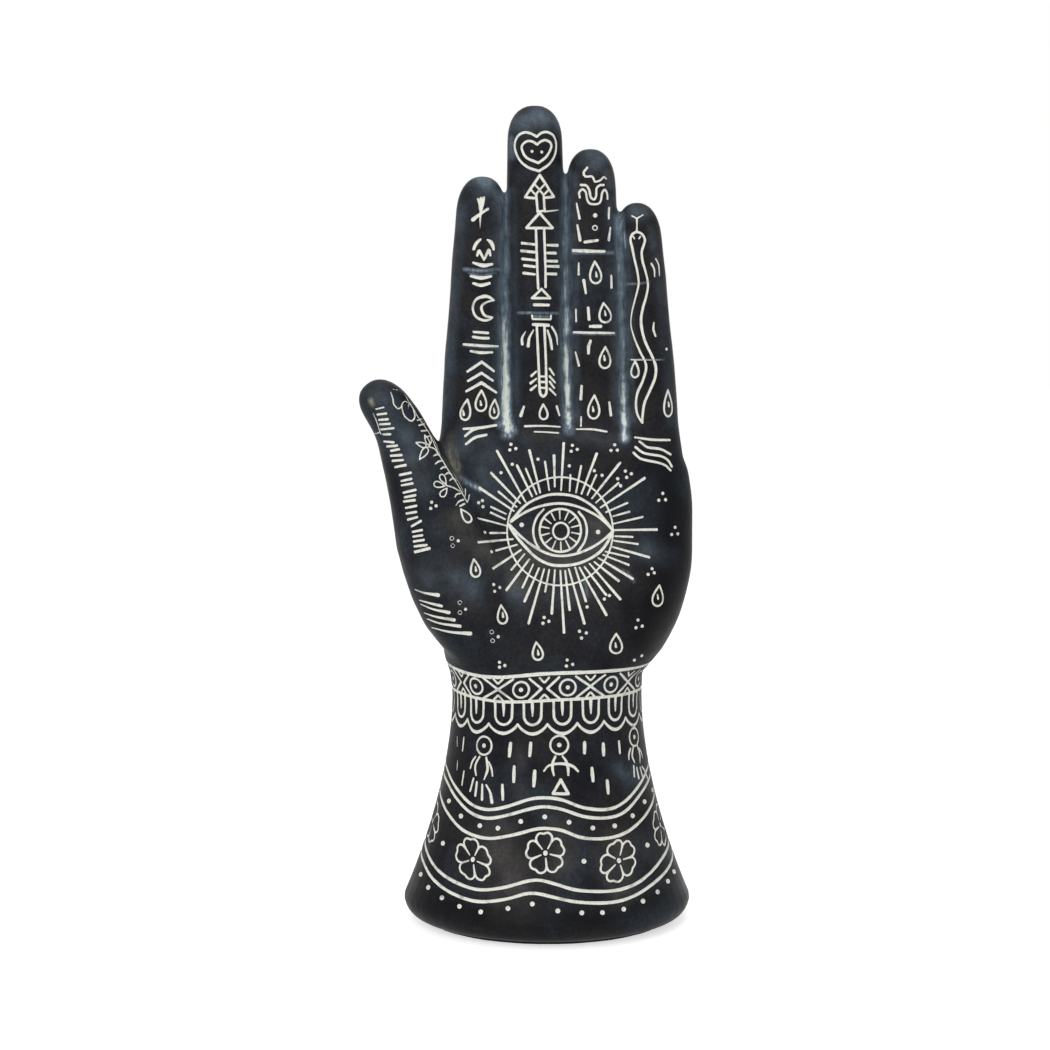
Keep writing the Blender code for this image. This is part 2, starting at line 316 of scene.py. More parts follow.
def new_points(edges, marked, count):
    """For each edge the number of its new point, and the marked edges' ends."""
    middle = np.full(len(edges), -1)
    middle[marked] = count + np.arange(marked.sum())
    return middle, edges[marked, 0], edges[marked, 1]


def refined(points, tris, wanted):
    """Halves edges that are longer than wanted there. wanted(points) is the longest edge at each point."""
    for _ in range(REFINE_PASSES):
        edges, number = edges_of(tris)
        limit = wanted(points)
        lengths = np.linalg.norm(points[edges[:, 0]] - points[edges[:, 1]], axis=1)
        marked = lengths > np.minimum(limit[edges[:, 0]], limit[edges[:, 1]])
        if not marked.any():
            break
        normals = normals_of(points, tris)
        middle, i, j = new_points(edges, marked, len(points))
        centre = (points[i] + points[j]) / 2
        rise_i = ((centre - points[i]) * normals[i]).sum(axis=1, keepdims=True) * normals[i]
        rise_j = ((centre - points[j]) * normals[j]).sum(axis=1, keepdims=True) * normals[j]
        points = np.vstack([points, centre - (rise_i + rise_j) / 4])
        tris = split(tris, number, marked, middle)
    return points, tris


def cut_along(points, tris, field):
    """Cuts the triangles where the field is 0, and returns points, triangles and field."""
    edges, number = edges_of(tris)
    i, j = edges[:, 0], edges[:, 1]
    across = field[i] * field[j] < 0
    share = np.where(across, field[i] / np.where(across, field[i] - field[j], 1), 0.5)
    field = field.copy()
    field[i[across & (share < SNAP_SHARE)]] = 0
    field[j[across & (share > 1 - SNAP_SHARE)]] = 0
    marked = field[i] * field[j] < 0
    middle, i, j = new_points(edges, marked, len(points))
    share = (field[i] / (field[i] - field[j]))[:, None]
    points = np.vstack([points, points[i] * (1 - share) + points[j] * share])
    field = np.concatenate([field, np.zeros(len(i))])
    return points, split(tris, number, marked, middle), field


# Where a line lands on the skin


class Carving:
    """Places on the skin along every line, each with its half width and its kind."""

    def __init__(self, points, tris):
        self.skin = BVHTree.FromPolygons(points.tolist(), tris.tolist())
        self.places = []
        self.halves = []
        self.kinds = []
        self.draws = np.random.default_rng(SHAKE_SEED)

    def add(self, hits, halves, kind):
        """Keeps the places that met the skin, with a width that wavers as if cut by hand."""
        shake = self.draws.uniform(0, 2 * math.pi, 2)
        for n, (hit, half) in enumerate(zip(hits, halves)):
            if hit is None:
                continue
            wave = sum(math.sin(n * step + start) for step, start in zip(SHAKE_STEPS, shake))
            self.places.append(hit)
            self.halves.append(half * LINE_SHARE * (1 + HAND_SHAKE * wave / 2))
            self.kinds.append(kind)

    def seen(self, kind, pixels, width, closed=False, smooth=True):
        """A line on the side that the photograph shows, in its pixels."""
        step = SAMPLE_STEP_MM * MM * FOCAL_PIXELS / abs(CAMERA_PLACE.y)
        places, share = spaced(pixels, step, closed, smooth)
        hits, halves = [], []
        for (px, py), w in zip(places, widths(width, share)):
            hit = self.cast(CAMERA_PLACE, sight(px, py))
            hits.append(hit)
            halves.append(0 if hit is None else w / 2 * depth_of(hit) / FOCAL_PIXELS)
        self.add(hits, halves, kind)

    def behind(self, kind, places_mm, width_mm, closed=False, smooth=True):
        """A line on the back of the hand, as x and z in millimetres."""
        places, share = spaced(places_mm, SAMPLE_STEP_MM, closed, smooth)
        hits = [self.cast(Vector((x * MM, OUTSIDE, z * MM)), Vector((0, -1, 0))) for x, z in places]
        self.add(hits, [w / 2 * MM for w in widths(width_mm, share)], kind)

    def round(self, kind, places, width_mm, closed=False, smooth=True):
        """A line round the wrist or foot: degrees from the front to the little finger, and height in mm."""
        scaled = [(degrees * TURN_MM, height) for degrees, height in places]
        spots, share = spaced(scaled, SAMPLE_STEP_MM, closed, smooth)
        hits = [self.on_ring(along / TURN_MM, height) for along, height in spots]
        self.add(hits, [w / 2 * MM for w in widths(width_mm, share)], kind)

    def on_ring(self, degrees, height_mm):
        turn = math.radians(degrees)
        out = Vector((math.sin(turn), -math.cos(turn), 0))
        return self.cast(out * OUTSIDE + Vector((0, 0, height_mm * MM)), -out)

    def cast(self, start, way):
        """Where a ray meets the skin, or None."""
        return self.skin.ray_cast(start, way)[0]


def sight(px, py):
    """The direction in which the photograph's camera sees a pixel."""
    across = float(px - PHOTO_PIXELS / 2) / FOCAL_PIXELS
    up = float(PHOTO_PIXELS / 2 - py) / FOCAL_PIXELS
    return (AHEAD + Vector((across, 0, 0)) + up * UPWARD).normalized()


def depth_of(place):
    return (place - CAMERA_PLACE).dot(AHEAD)


def widths(width, share):
    """One width all along, or widths named at even shares of the length."""
    if np.isscalar(width):
        return np.full(len(share), float(width))
    return np.interp(share, np.linspace(0, 1, len(width)), width)


# Carved lines on the fingers, in the photograph's pixels

INDEX_SMOOTH = {
    "dagger_left": ([(477.9, 198.9), (479.5, 203.5), (480.3, 209)], (2.6, 3.2, 3.0)),
    "dagger_blade": ([(481, 198.3), (481, 205), (480.8, 212)], (3.4, 3.6, 3.2)),
    "dagger_right": ([(484, 197.3), (482.9, 203), (481.4, 209)], (2.6, 3.2, 3.0)),
    "dagger_tip": ([(480.7, 212), (480.2, 219), (480.1, 229)], (3.0, 1.6, 0.4)),
    "dagger_guard": ([(472.8, 219.6), (479.8, 214.2), (488, 208.8)], (4.6, 3.0, 3.0)),
    "lotus_left": ([(480.4, 239.3), (477.4, 242), (475, 245.4), (473.7, 249)], (2.4, 3.4, 3.8, 3.4)),
    "lotus_right": ([(487.6, 239.8), (490.6, 241.8), (492.6, 245.2), (493.8, 249.2)], (2.2, 4.4, 4.8, 3.2)),
    "lotus_cup": ([(477.2, 255.4), (478.9, 250.8), (481.2, 254), (484, 260)], (2.8, 3.6, 3.0, 2.0)),
    "lotus_cup_right": ([(484, 260), (486.8, 254), (489, 250.2), (490.4, 255.2)], (2.0, 3.0, 3.6, 2.8)),
    "stand": ([(473.2, 262.7), (483.1, 265.4), (492.3, 264.1)], (2.8, 4.4, 2.8)),
    "under_stand": ([(470.7, 276), (481, 277.9), (491.3, 276.3)], (2.6, 4.2, 2.6)),
    "foot_stand": ([(473.4, 283.3), (481, 285.2), (489.4, 283.3)], (3.0, 3.8, 3.0)),
    "moon_back": (
        [(494, 300.3), (489.5, 297.3), (484.2, 296.3), (476, 299.5), (472.7, 307.7)]
        + [(475.5, 316), (482.5, 320), (488.6, 319.8), (492.3, 317.5)],
        (2.4, 4.2, 2.6, 2.6, 2.8, 2.6),
    ),
    "moon_front": (
        [(494, 300.3), (487.5, 301.8), (482.4, 305), (481.5, 309.3), (484.8, 315.3), (492.3, 317.5)],
        (1.8, 2.6, 3.0, 2.6),
    ),
    "bar_one": ([(473.9, 331.9), (481, 332.4), (488, 332.9)], 3.0),
    "bar_two": ([(473.2, 336.8), (481, 338), (488.5, 338.1)], 3.0),
    "crease_low": ([(463.2, 344.2), (481, 345.6), (498.6, 346.2)], (2.4, 3.4, 2.2)),
    "bar_three": ([(470.7, 351.1), (481, 352.6), (492.3, 352.2)], (2.6, 3.2, 2.6)),
    "root_one": ([(463.6, 428.8), (480, 427.7), (496.2, 425.1)], (2.6, 3.2, 2.8)),
    "root_two": ([(465.1, 436), (472, 430.5), (480, 427.7)], 2.8),
    "root_three": ([(466, 444), (475, 437.5), (486.4, 434.7)], (2.8, 3.4, 2.6)),
}
INDEX_STRAIGHT = {
    "chevron_one": ([(467.4, 371.5), (481.8, 361.9), (494, 371.1)], (2.8, 3.2, 2.8)),
    "chevron_two": ([(468, 380.9), (481.5, 373), (492.9, 380.6)], (2.8, 3.2, 2.6)),
    "chevron_three": ([(466.3, 391.2), (481.5, 382.7), (496.4, 392.5)], (2.6, 3.8, 2.8)),
}
MIDDLE_SMOOTH = {
    "heart_left": (
        [(536.7, 136.6), (530.6, 133.3), (524, 132.4), (517.3, 136.5), (514.4, 146.6)]
        + [(518.9, 159.1), (527.5, 166.9), (539, 171)],
        (3.0, 2.8, 2.8, 2.8, 3.0),
    ),
    "heart_right": (
        [(536.7, 136.6), (541.4, 132.9), (547.4, 132), (553.6, 135.6), (556.3, 143.4)]
        + [(555.2, 154.2), (549.2, 164), (539, 171)],
        (3.0, 2.8, 2.8, 2.8, 3.0),
    ),
    "inner_left": (
        [(537.1, 144.4), (532.7, 141.6), (527.7, 141), (522.9, 144), (521.7, 149), (526.4, 157.5)]
        + [(538.4, 162.9)],
        2.8,
    ),
    "inner_right": (
        [(537.1, 144.4), (541, 141.3), (545.6, 140.1), (550.4, 142.6), (551.2, 147.6)]
        + [(546.5, 156.4), (538.4, 162.9)],
        2.8,
    ),
    "neck_arch": ([(536.2, 194), (539.5, 190.6), (543, 194)], 2.4),
    "thin_tick": ([(544.6, 211.5), (558.4, 210.1)], (2.0, 1.4)),
    "end_arch": ([(539.7, 390.5), (540.5, 394), (543.2, 396.4), (545.9, 394), (546.6, 390.5)], 3.0),
    "petal_far_left": ([(525.4, 331.6), (521.9, 338.1), (522.2, 344.0)], (1.2, 2.6, 3.6)),
    "petal_left": ([(533.5, 329.9), (529.2, 338.1), (528.1, 345.9)], (1.4, 2.8, 4.0)),
    "petal_right": ([(547.6, 330.5), (550.4, 339.1), (552, 348.8)], (2.6, 3.4, 3.0)),
    "petal_far_right": ([(552, 326.9), (556.3, 334.8), (557.7, 344.6)], (2.6, 2.6, 1.4)),
}
MIDDLE_STRAIGHT = {
    "arrow_sides": ([(534, 198.1), (524.8, 197.2), (539.8, 175), (554.1, 196.6), (544.3, 197.8)], 3.0),
    "lattice_one": ([(534.4, 184), (539.6, 189.6), (545.4, 183.7)], 2.2),
    "lattice_two": ([(530.4, 189.0), (534.8, 194)], 2.2),
    "lattice_three": ([(549.4, 189.0), (544.7, 194)], 2.2),
    "neck_left": ([(536, 194), (537.6, 210.6)], 2.8),
    "neck_right": ([(543.6, 194.6), (544.7, 210)], 2.8),
    "tip_two": ([(537.2, 211.4), (542.6, 211)], 2.6),
    "barb_two": ([(526.4, 227.4), (539.6, 212.8), (553, 228), (526.4, 228)], (2.8, 3.0, 3.0, 2.8)),
    "shaft_left": ([(535.9, 230.1), (537.2, 268), (538.2, 288.4)], 2.8),
    "shaft_right": ([(544.2, 230.1), (545.5, 268), (545.6, 287)], 2.8),
    "barb_three": ([(532, 298), (541.6, 288.9), (550.5, 298.2), (532, 298)], 2.8),
    "bar_one": ([(534.3, 304.7), (548.6, 305)], 3.4),
    "frame": ([(532, 315.3), (532.6, 319), (550.8, 319.4), (551.2, 315.3)], 2.2),
    "bar_two": ([(533.2, 324.4), (548.6, 325.2)], 3.6),
    "shaft_low_left": ([(536.8, 326.7), (538.4, 360), (539.7, 391)], 2.8),
    "shaft_low_right": ([(544.4, 326.7), (545.9, 360), (546.6, 391)], 2.8),
}
MIDDLE_TICKS_LEFT = ((521.9, 243.1), (521.2, 250.8), (522.3, 258.8), (524.3, 265.4), (523.6, 273))
MIDDLE_TICKS_RIGHT = ((557.8, 245.3), (555.8, 253.1), (557.2, 261.2), (558.8, 266.4), (556.3, 274))
MIDDLE_FEATHERS_LEFT = ((531.4, 375.8), (530.6, 383.1), (530.9, 389.8))
MIDDLE_FEATHERS_RIGHT = ((554.1, 374.9), (555.2, 382.5), (554.3, 388), (555.8, 395))
MIDDLE_RUNGS = (376.2, 381.8, 387.6)
MIDDLE_SHAFT_EDGES = (536.2, 546.2)
MIDDLE_LOW_SHAFT_EDGES = (538.9, 546.4)
# A mark's inner end: right of the shaft's edge, and below the mark's outer end
TICK_LEFT_END = (-1.6, 1.3)
TICK_RIGHT_END = (1.4, -0.2)
FEATHER_LEFT_END = (-2.6, -4.4)
FEATHER_RIGHT_END = (3.4, -6.2)
RUNG_FALL = 0.4
MIDDLE_ROOT_DASHES = {
    "left": ([(523.8, 406.6), (520.7, 415.4)], (2.4, 4.0)),
    "right": ([(556.9, 406.6), (559.6, 415.4)], (3.2, 2.0)),
}
RING_SMOOTH = {
    "curl": (
        [(587.1, 167.5), (583.6, 172.5), (585.6, 176.4), (591, 176.2), (593.3, 178)]
        + [(595.2, 181.6), (600.3, 180.2), (603.9, 177), (606.4, 178.7)],
        (2.6, 2.6, 2.4, 2.4, 2.0),
    ),
    "throat": (
        [(580.6, 184.9), (586, 185.4), (589.2, 190.1), (590.7, 197), (594, 199.4)]
        + [(596.1, 196), (596.6, 188.6), (599.6, 185.3), (603.9, 184.9)],
        2.6,
    ),
    "shoulders": (
        [(579.7, 197.4), (579, 192.6), (582.2, 189.3), (585.6, 192), (587.1, 199.4), (590.2, 203.6)]
        + [(597.9, 203.8), (600.9, 200.4), (602.2, 193), (604.9, 189.7), (607.2, 193.2), (607.7, 198.8)],
        2.5,
    ),
    "crease_high": ([(572.6, 250.4), (588, 251.0), (604.6, 251.4)], (3.4, 3.8, 3.0)),
    "crease_mid": ([(573, 332.2), (592, 332.6), (614.6, 332.9)], (2.8, 2.6, 2.2)),
    "root": ([(576.3, 429), (592, 429.2), (606.6, 431.5)], (1.6, 2.4, 2.2)),
}
RING_DASHES = {
    "left_one": ([(576.4, 203.4), (579.4, 218.4)], (2.2, 3.0)),
    "left_two": ([(577.2, 225.2), (580, 240)], (2.6, 3.6)),
    "right_one": ([(609.3, 208), (608.8, 218.4)], (3.0, 2.6)),
    "right_two": ([(610.6, 227.6), (609, 239.6)], (2.4, 3.6)),
    "chin": ([(584.8, 242), (597.6, 240.3)], (3.6, 3.0)),
    "rain_one": ([(578.5, 263), (578.5, 274.2)], (1.8, 3.0)),
    "rain_two": ([(583.7, 280.4), (585.8, 293.2)], (3.6, 2.4)),
    "rain_three": ([(611.5, 275.6), (611.7, 287.2)], (2.6, 3.4)),
    "rain_four": ([(575.7, 309.6), (576, 321.2)], 2.4),
    "rain_five": ([(588.1, 307.8), (589, 319.2)], (3.2, 3.6)),
    "level": ([(592, 326.3), (600.8, 326.3)], 3.6),
    "rain_six": ([(590.5, 340.8), (588.6, 346.6), (588.4, 353.2)], (3.0, 3.6, 3.0)),
    "rain_seven": ([(575.3, 352.2), (578.8, 365.4)], (2.4, 3.2)),
    "rain_eight": ([(581.5, 386.2), (580.7, 398.8)], (3.2, 3.8)),
    "rain_nine": ([(609.4, 402.4), (611, 415)], (2.6, 3.4)),
    "rain_ten": ([(581.1, 417), (580.9, 426)], 2.0),
}
LITTLE_SMOOTH = {
    "tongue_left": ([(632.1, 215.1), (637, 217.8)], 1.8),
    "tongue_right": ([(643, 214.2), (637, 217.8)], 1.8),
    "tongue": ([(637, 217.8), (637.1, 224), (636.9, 230.2)], (2.4, 1.8, 2.2)),
    "snake_left": (
        [(636.9, 231), (632.3, 233.8), (630.6, 239.4), (632.4, 247.6), (634.8, 259.5), (637.3, 270)]
        + [(638.8, 281), (637.8, 289), (634.8, 300), (632, 312), (631, 323.9), (634.3, 336.9)]
        + [(640.2, 351), (645.1, 360.7), (646.2, 368.3), (642.9, 380.2), (637.7, 392), (636, 403)]
        + [(637.5, 413.5), (642.2, 422)],
        (2.8, 2.8, 2.4, 1.8, 1.6, 2.4, 3.0, 2.8, 2.4),
    ),
    "snake_right": (
        [(636.9, 231), (642.2, 233.4), (645.1, 238.9), (644, 244.3), (642, 250.8), (642.6, 259.5)]
        + [(645.1, 268.6), (647.5, 277.9), (648.2, 285.5), (646.6, 295), (643.2, 307), (641.3, 318)]
        + [(642.2, 329.5), (645.9, 342.3), (652.2, 355.3), (656, 366.1), (655.2, 377.4)]
        + [(650, 390), (644.8, 401.9), (643, 412.4), (642.4, 422)],
        (2.8, 2.8, 2.4, 2.6, 3.2, 3.0, 3.2, 3.0, 2.6),
    ),
    "snake_eyes": ([(633.4, 236), (634.6, 238)], 1.8),
    "snake_eye_right": ([(640.6, 235.8), (639.2, 238)], 1.8),
    "scale_one": ([(651.7, 263), (654.5, 268.6), (655, 276)], (2.8, 2.2, 1.4)),
    "scale_two": ([(656.2, 258.2), (659.2, 264.9), (659.9, 276)], (2.0, 2.0, 1.2)),
    "dash": ([(654.2, 322), (653.7, 328.7), (655.8, 335.4)], (1.8, 2.6, 2.2)),
    "crease_mid": ([(631.4, 359.1), (646, 359.4), (661, 359.3)], (1.6, 1.0, 0.7)),
}
LITTLE_SHIFT = (-0.2, 0.6)
# Each bar of the thumb's ladder from end to end, with its width
THUMB_BARS = (
    ((375.8, 409.2), (383.6, 407.3), 1.8),
    ((377.3, 414.6), (386.0, 413.5), 2.7),
    ((378.8, 420.0), (387.7, 419.2), 2.7),
    ((379.6, 424.4), (389.6, 423.8), 2.7),
    ((380.8, 429.6), (393.5, 428.1), 2.5),
    ((382.9, 434.4), (390.2, 434.2), 2.7),
    ((383.8, 441.5), (393.5, 442.3), 2.6),
    ((386.9, 446.5), (396.9, 445.6), 2.8),
    ((390.8, 450.8), (398.8, 449.2), 2.9),
    ((390.5, 455.8), (401.2, 455.0), 2.9),
    ((392.3, 460.8), (402.7, 460.0), 2.9),
    ((394.8, 467.2), (405.5, 465.0), 2.9),
    ((399.6, 475.0), (410.6, 472.7), 2.9),
    ((401.2, 481.0), (411.2, 478.8), 2.9),
    ((401.5, 485.4), (412.3, 483.3), 2.7),
    ((403.2, 492.7), (415.4, 489.8), 2.9),
    ((404.5, 497.3), (415.0, 495.2), 2.9),
    ((403.6, 501.5), (414.5, 500.0), 2.9),
    ((405.5, 507.9), (416.0, 505.8), 2.9),
    ((406.2, 513.5), (415.9, 511.9), 2.9),
    ((407.6, 519.6), (416.9, 517.1), 2.9),
    ((411.5, 526.3), (420.7, 520.9), 2.9),
    ((412.6, 531.8), (421.7, 530.0), 2.9),
    ((413.0, 536.6), (422.0, 535.3), 2.9),
    ((413.5, 541.5), (423.5, 539.9), 3.0),
    ((414.3, 546.4), (426.3, 545.0), 3.0),
    ((414.8, 552.0), (429.1, 548.4), 3.6),
)
THUMB_VINE = {
    "stem": (
        [(405, 394.2), (408.5, 400.4), (413.8, 408.8), (418.2, 416.8), (425.8, 427.3), (430.4, 434.8)]
        + [(435, 445), (438.5, 453.5), (442.3, 459.6), (446.9, 467.3), (452.3, 475.8), (457.7, 484.2)]
        + [(462.3, 492.7), (467.3, 501.9)],
        (1.2, 1.7, 2.0, 2.0, 2.2, 2.2, 2.2),
    ),
    "strand": (
        [(421.6, 418.4), (427.6, 426.4), (432.4, 435.6), (437.4, 446.4), (440.6, 455.6)],
        (0.9, 1.2, 1.4, 0.9),
    ),
    "strand_low": ([(451.4, 468.4), (455.2, 475.4), (459.8, 483.6), (464.2, 492.4)], (0.9, 1.4, 1.4, 1.0)),
    "branch_one": ([(428.2, 446.6), (434.4, 448.4), (438.8, 454)], (1.8, 2.2, 2.0)),
    "branch_one_up": ([(429.4, 445.6), (431.6, 441), (430.6, 436.4)], (1.6, 1.8, 1.2)),
    "branch_two": ([(446.4, 485.2), (453.4, 487.4), (459.4, 490.8)], (1.9, 2.2, 1.6)),
    "bloom": (
        [(390.7, 391.8), (392.9, 398.6), (393.5, 403), (395.4, 406.4), (398.2, 408.6), (401, 407.1)]
        + [(402, 405)],
        (1.0, 1.5, 1.7, 1.5, 1.2),
    ),
    "bloom_low": (
        [(406, 401.1), (403.5, 402), (401.9, 405.5), (402.6, 410.5), (404.1, 414.9), (406.6, 418)]
        + [(411, 420.8), (413.8, 419.3), (415.1, 415.5), (414.1, 411.8), (412.9, 408), (409.8, 403.6)]
        + [(406, 401.1)],
        (1.2, 1.6, 1.8, 1.9, 1.6, 1.2),
    ),
    "bloom_edge": ([(404.6, 391.4), (408.6, 397.6), (413.4, 405.2)], (0.8, 1.2, 0.8)),
    "bloom_top": ([(392.9, 388.9), (397.9, 389.8)], (0.8, 1.0)),
    "bloom_mark": ([(409.6, 403), (408.6, 405.4), (408.5, 408.4)], (0.8, 1.0, 0.8)),
    "scratch": (
        [(372.9, 413), (376, 420.5), (378.2, 426.8), (379.4, 431.1), (380.7, 434.3)],
        (0.8, 1.3, 1.5, 1.3),
    ),
    "scratch_foot": ([(374.1, 433.3), (376.6, 433.6), (379.1, 432.4)], 1.3),
    "barb_high": ([(417.6, 420.2), (422, 418.4)], (1.8, 1.4)),
    "barb_low": ([(424.8, 437), (430.2, 435.8)], (1.8, 1.5)),
    "barb_one": ([(419.2, 425.2), (424.6, 423.6)], (2.2, 1.8)),
    "barb_two": ([(421.6, 430.8), (427.6, 430.2)], (2.2, 1.8)),
    "barb_three": ([(433.5, 455.9), (437, 454.2), (439.4, 454.8)], (1.2, 2.2, 2.0)),
    "barb_four": ([(435.4, 463.9), (438.6, 461.4), (442.6, 460.4)], (1.4, 2.4, 2.0)),
    "barb_five": ([(440.8, 468.9), (443.6, 467), (447, 467)], (1.6, 2.4, 2.0)),
    "barb_six": ([(445.4, 474.4), (448.2, 472.8), (451.6, 474)], (1.4, 2.4, 2.0)),
    "barb_seven": ([(449.8, 480.4), (453, 478.2), (456.8, 480)], (1.4, 2.4, 2.0)),
    "barb_eight": ([(455.2, 497), (456.8, 494.2), (461, 493)], (1.4, 2.2, 2.0)),
    "barb_nine": ([(456, 505.4), (459, 501.4), (463.6, 499.4)], (1.2, 2.0, 2.2)),
    "barb_ten": ([(460.2, 506), (464.8, 503.4)], 2.2),
    "side_one": ([(465.4, 488.8), (465.6, 494.4), (464.6, 496.6)], (1.2, 1.8, 1.4)),
    "side_two": ([(469.4, 494.6), (468.8, 499), (467.2, 502)], (1.2, 1.6, 1.6)),
}
# Each leaf's sharp end, round end and half width
LEAVES = {
    "first_up": ((424.8, 434.6), (429, 444.4), 1.9),
    "first_out": ((416, 442.4), (426.2, 446.2), 2.5),
    "first_low": ((419.5, 459.4), (427.4, 447.8), 3.2),
    "second_up": ((446.2, 484.2), (440.8, 474.4), 2.8),
    "second_out": ((444.8, 486), (434, 483.4), 3.1),
    "second_low": ((447.2, 488), (441, 496.2), 3.1),
}

# Carved lines on the palm, in the photograph's pixels

IRIS_CENTRE = (560.3, 530.3)
# The eye's rings: centre, half sizes, number of points and line width
EYE_RINGS = {
    "outer": ((560.0, 531.2), (52.9, 54.1), 40, 2.0),
    "iris": (IRIS_CENTRE, (20.6, 21.4), 30, 2.6),
    "pupil": ((560.8, 531.0), (7.8, 8.3), 20, 2.4),
}
SPOKES = 14
SPOKE_START = 0.08
SPOKE_REACH = (11.4, 19.2)
SPOKE_WIDTHS = (1.5, 2.0)
EYE_LIDS = {
    "upper": (
        [(510.6, 521.2), (526.5, 504.4), (545.2, 495.7), (561.6, 494.3), (577.6, 497.4)]
        + [(593, 506.6), (603.4, 518.2), (613, 530.6)],
        3.0,
    ),
    "upper_inner": (
        [(511, 521.4), (524.9, 512.4), (541, 506), (560, 503.4), (577.6, 506.6)]
        + [(594, 514), (604.6, 521.6), (613.2, 530.6)],
        2.9,
    ),
    "lower_inner": (
        [(509, 524.2), (521.7, 537), (535.7, 547.6), (548.9, 553.9), (561.6, 555.9)]
        + [(577.6, 553.3), (593.5, 546.4), (604.4, 538.9), (613.2, 530.8)],
        2.9,
    ),
    "lower": (
        [(509.2, 525.6), (515.4, 535.2), (524.9, 546.4), (536.1, 557.4), (548.9, 564), (561.6, 565.5)]
        + [(577.6, 563.5), (593.5, 556.5), (604.5, 546.7), (613.2, 531.4)],
        3.3,
    ),
    "arc_left": ([(543.6, 509.4), (536.9, 517.3), (533.3, 528.6), (534.6, 539.8), (539.2, 548.6)], 2.5),
    "arc_right": ([(578.7, 511.9), (584.5, 519.6), (586.8, 530), (584.7, 541.2), (578, 551.6)], 2.7),
}
# Each ray from its outer end to its inner end
EYE_RAYS = (
    ((563.7, 443.1), (561.1, 490.2)),
    ((554.0, 455.4), (554.8, 486.6)),
    ((545.0, 461.6), (549.2, 490.2)),
    ((529.4, 450.3), (540.1, 492.5)),
    ((525.8, 468.8), (536.5, 494.2)),
    ((517.0, 465.4), (532.1, 496.4)),
    ((497.0, 450.8), (525.4, 501.8)),
    ((491.1, 472.9), (520.2, 503.2)),
    ((498.6, 491.7), (516.6, 506.9)),
    ((479.5, 487.8), (513.8, 510.9)),
    ((491.1, 506.9), (505.8, 513.8)),
    ((490.7, 512.5), (505.0, 519.2)),
    ((478.4, 518.1), (505.8, 525.5)),
    ((490.2, 532.9), (505.8, 532.9)),
    ((478.7, 542.1), (512.7, 539.1)),
    ((496.2, 550.4), (517.0, 544.7)),
    ((493.4, 568.3), (521.0, 549.9)),
    ((511.4, 569.6), (524.6, 553.9)),
    ((506.6, 589.8), (529.2, 559.2)),
    ((522.5, 587.4), (533.2, 564.3)),
    ((524.6, 601.0), (539.0, 568.0)),
    ((528.6, 623.3), (544.1, 569.1)),
    ((545.2, 591.4), (549.2, 569.6)),
    ((551.7, 613.4), (554.9, 569.9)),
    ((564.0, 632.4), (560.3, 570.7)),
    ((569.6, 609.7), (565.1, 570.7)),
    ((584.3, 623.3), (568.8, 569.1)),
    ((585.8, 601.0), (575.2, 567.5)),
    ((606.3, 614.8), (579.5, 567.5)),
    ((605.9, 594.6), (584.7, 567.0)),
    ((620.1, 599.0), (589.5, 563.5)),
    ((618.5, 580.7), (594.3, 561.9)),
    ((632.6, 578.6), (598.3, 557.9)),
    ((628.6, 564.8), (603.1, 554.7)),
    ((628.6, 556.8), (605.5, 551.5)),
    ((649.0, 557.1), (612.4, 546.8)),
    ((637.8, 544.0), (614.2, 540.7)),
    ((632.6, 536.9), (615.0, 536.1)),
    ((656.8, 529.5), (614.2, 530.0)),
    ((642.6, 516.9), (613.9, 523.6)),
    ((629.4, 511.7), (613.4, 516.1)),
    ((627.3, 502.9), (605.9, 512.2)),
    ((644.5, 478.2), (600.7, 507.4)),
    ((618.5, 483.0), (595.9, 502.6)),
    ((620.1, 462.7), (591.9, 498.4)),
    ((596.2, 475.0), (587.4, 494.9)),
    ((596.7, 453.5), (581.5, 493.7)),
    ((581.1, 465.8), (576.0, 492.5)),
    ((570.4, 475.0), (569.6, 491.0)),
)
LONG_RAY = 30.0
RAY_WIDTHS = (3.1, 2.6, 2.1)
SHORT_RAY_WIDTHS = (2.5, 2.2, 1.9)
PALM_SMOOTH = {
    "ripple_one": ([(635, 437.2), (652.5, 439.6), (670, 440)], (2.2, 3.0, 2.4)),
    "ripple_two": ([(639.7, 441.5), (647.7, 447.1), (660.5, 449), (670.8, 454.3)], 2.9),
    "ripple_three": ([(635.7, 447.1), (644.5, 453), (660.5, 455.9), (668, 460), (671.9, 466.2)], 3.0),
    "ripple_four": ([(633.7, 452.7), (641.3, 458.7), (657.3, 462.3), (665.6, 465.4), (670.8, 470.2)], 2.9),
    "crease_one": ([(524.9, 426.1), (543, 425.8), (560, 426.7)], (2.6, 2.2, 1.8)),
    "crease_two": ([(534.5, 431.6), (546, 432), (558.4, 432.8)], 1.8),
    "heel_one": ([(414.3, 589.6), (424, 593), (438, 595.2)], (1.4, 2.6, 4.4)),
    "heel_two": ([(418.9, 600.3), (430, 603.4), (441.4, 606.1)], (1.4, 2.8, 3.6)),
    "heel_three": ([(420.4, 604.4), (433, 609.4), (448.8, 612.6)], (1.6, 2.8, 4.0)),
    "heel_four": ([(423.7, 613.1), (436, 617), (453.8, 620)], (1.6, 2.8, 4.4)),
    "heel_five": ([(427, 619.2), (440, 623.6), (459.8, 626.3)], (1.8, 3.0, 4.2)),
    "heel_six": ([(431.6, 627.9), (449, 632), (470, 633.7)], (1.8, 3.2, 5.0)),
}
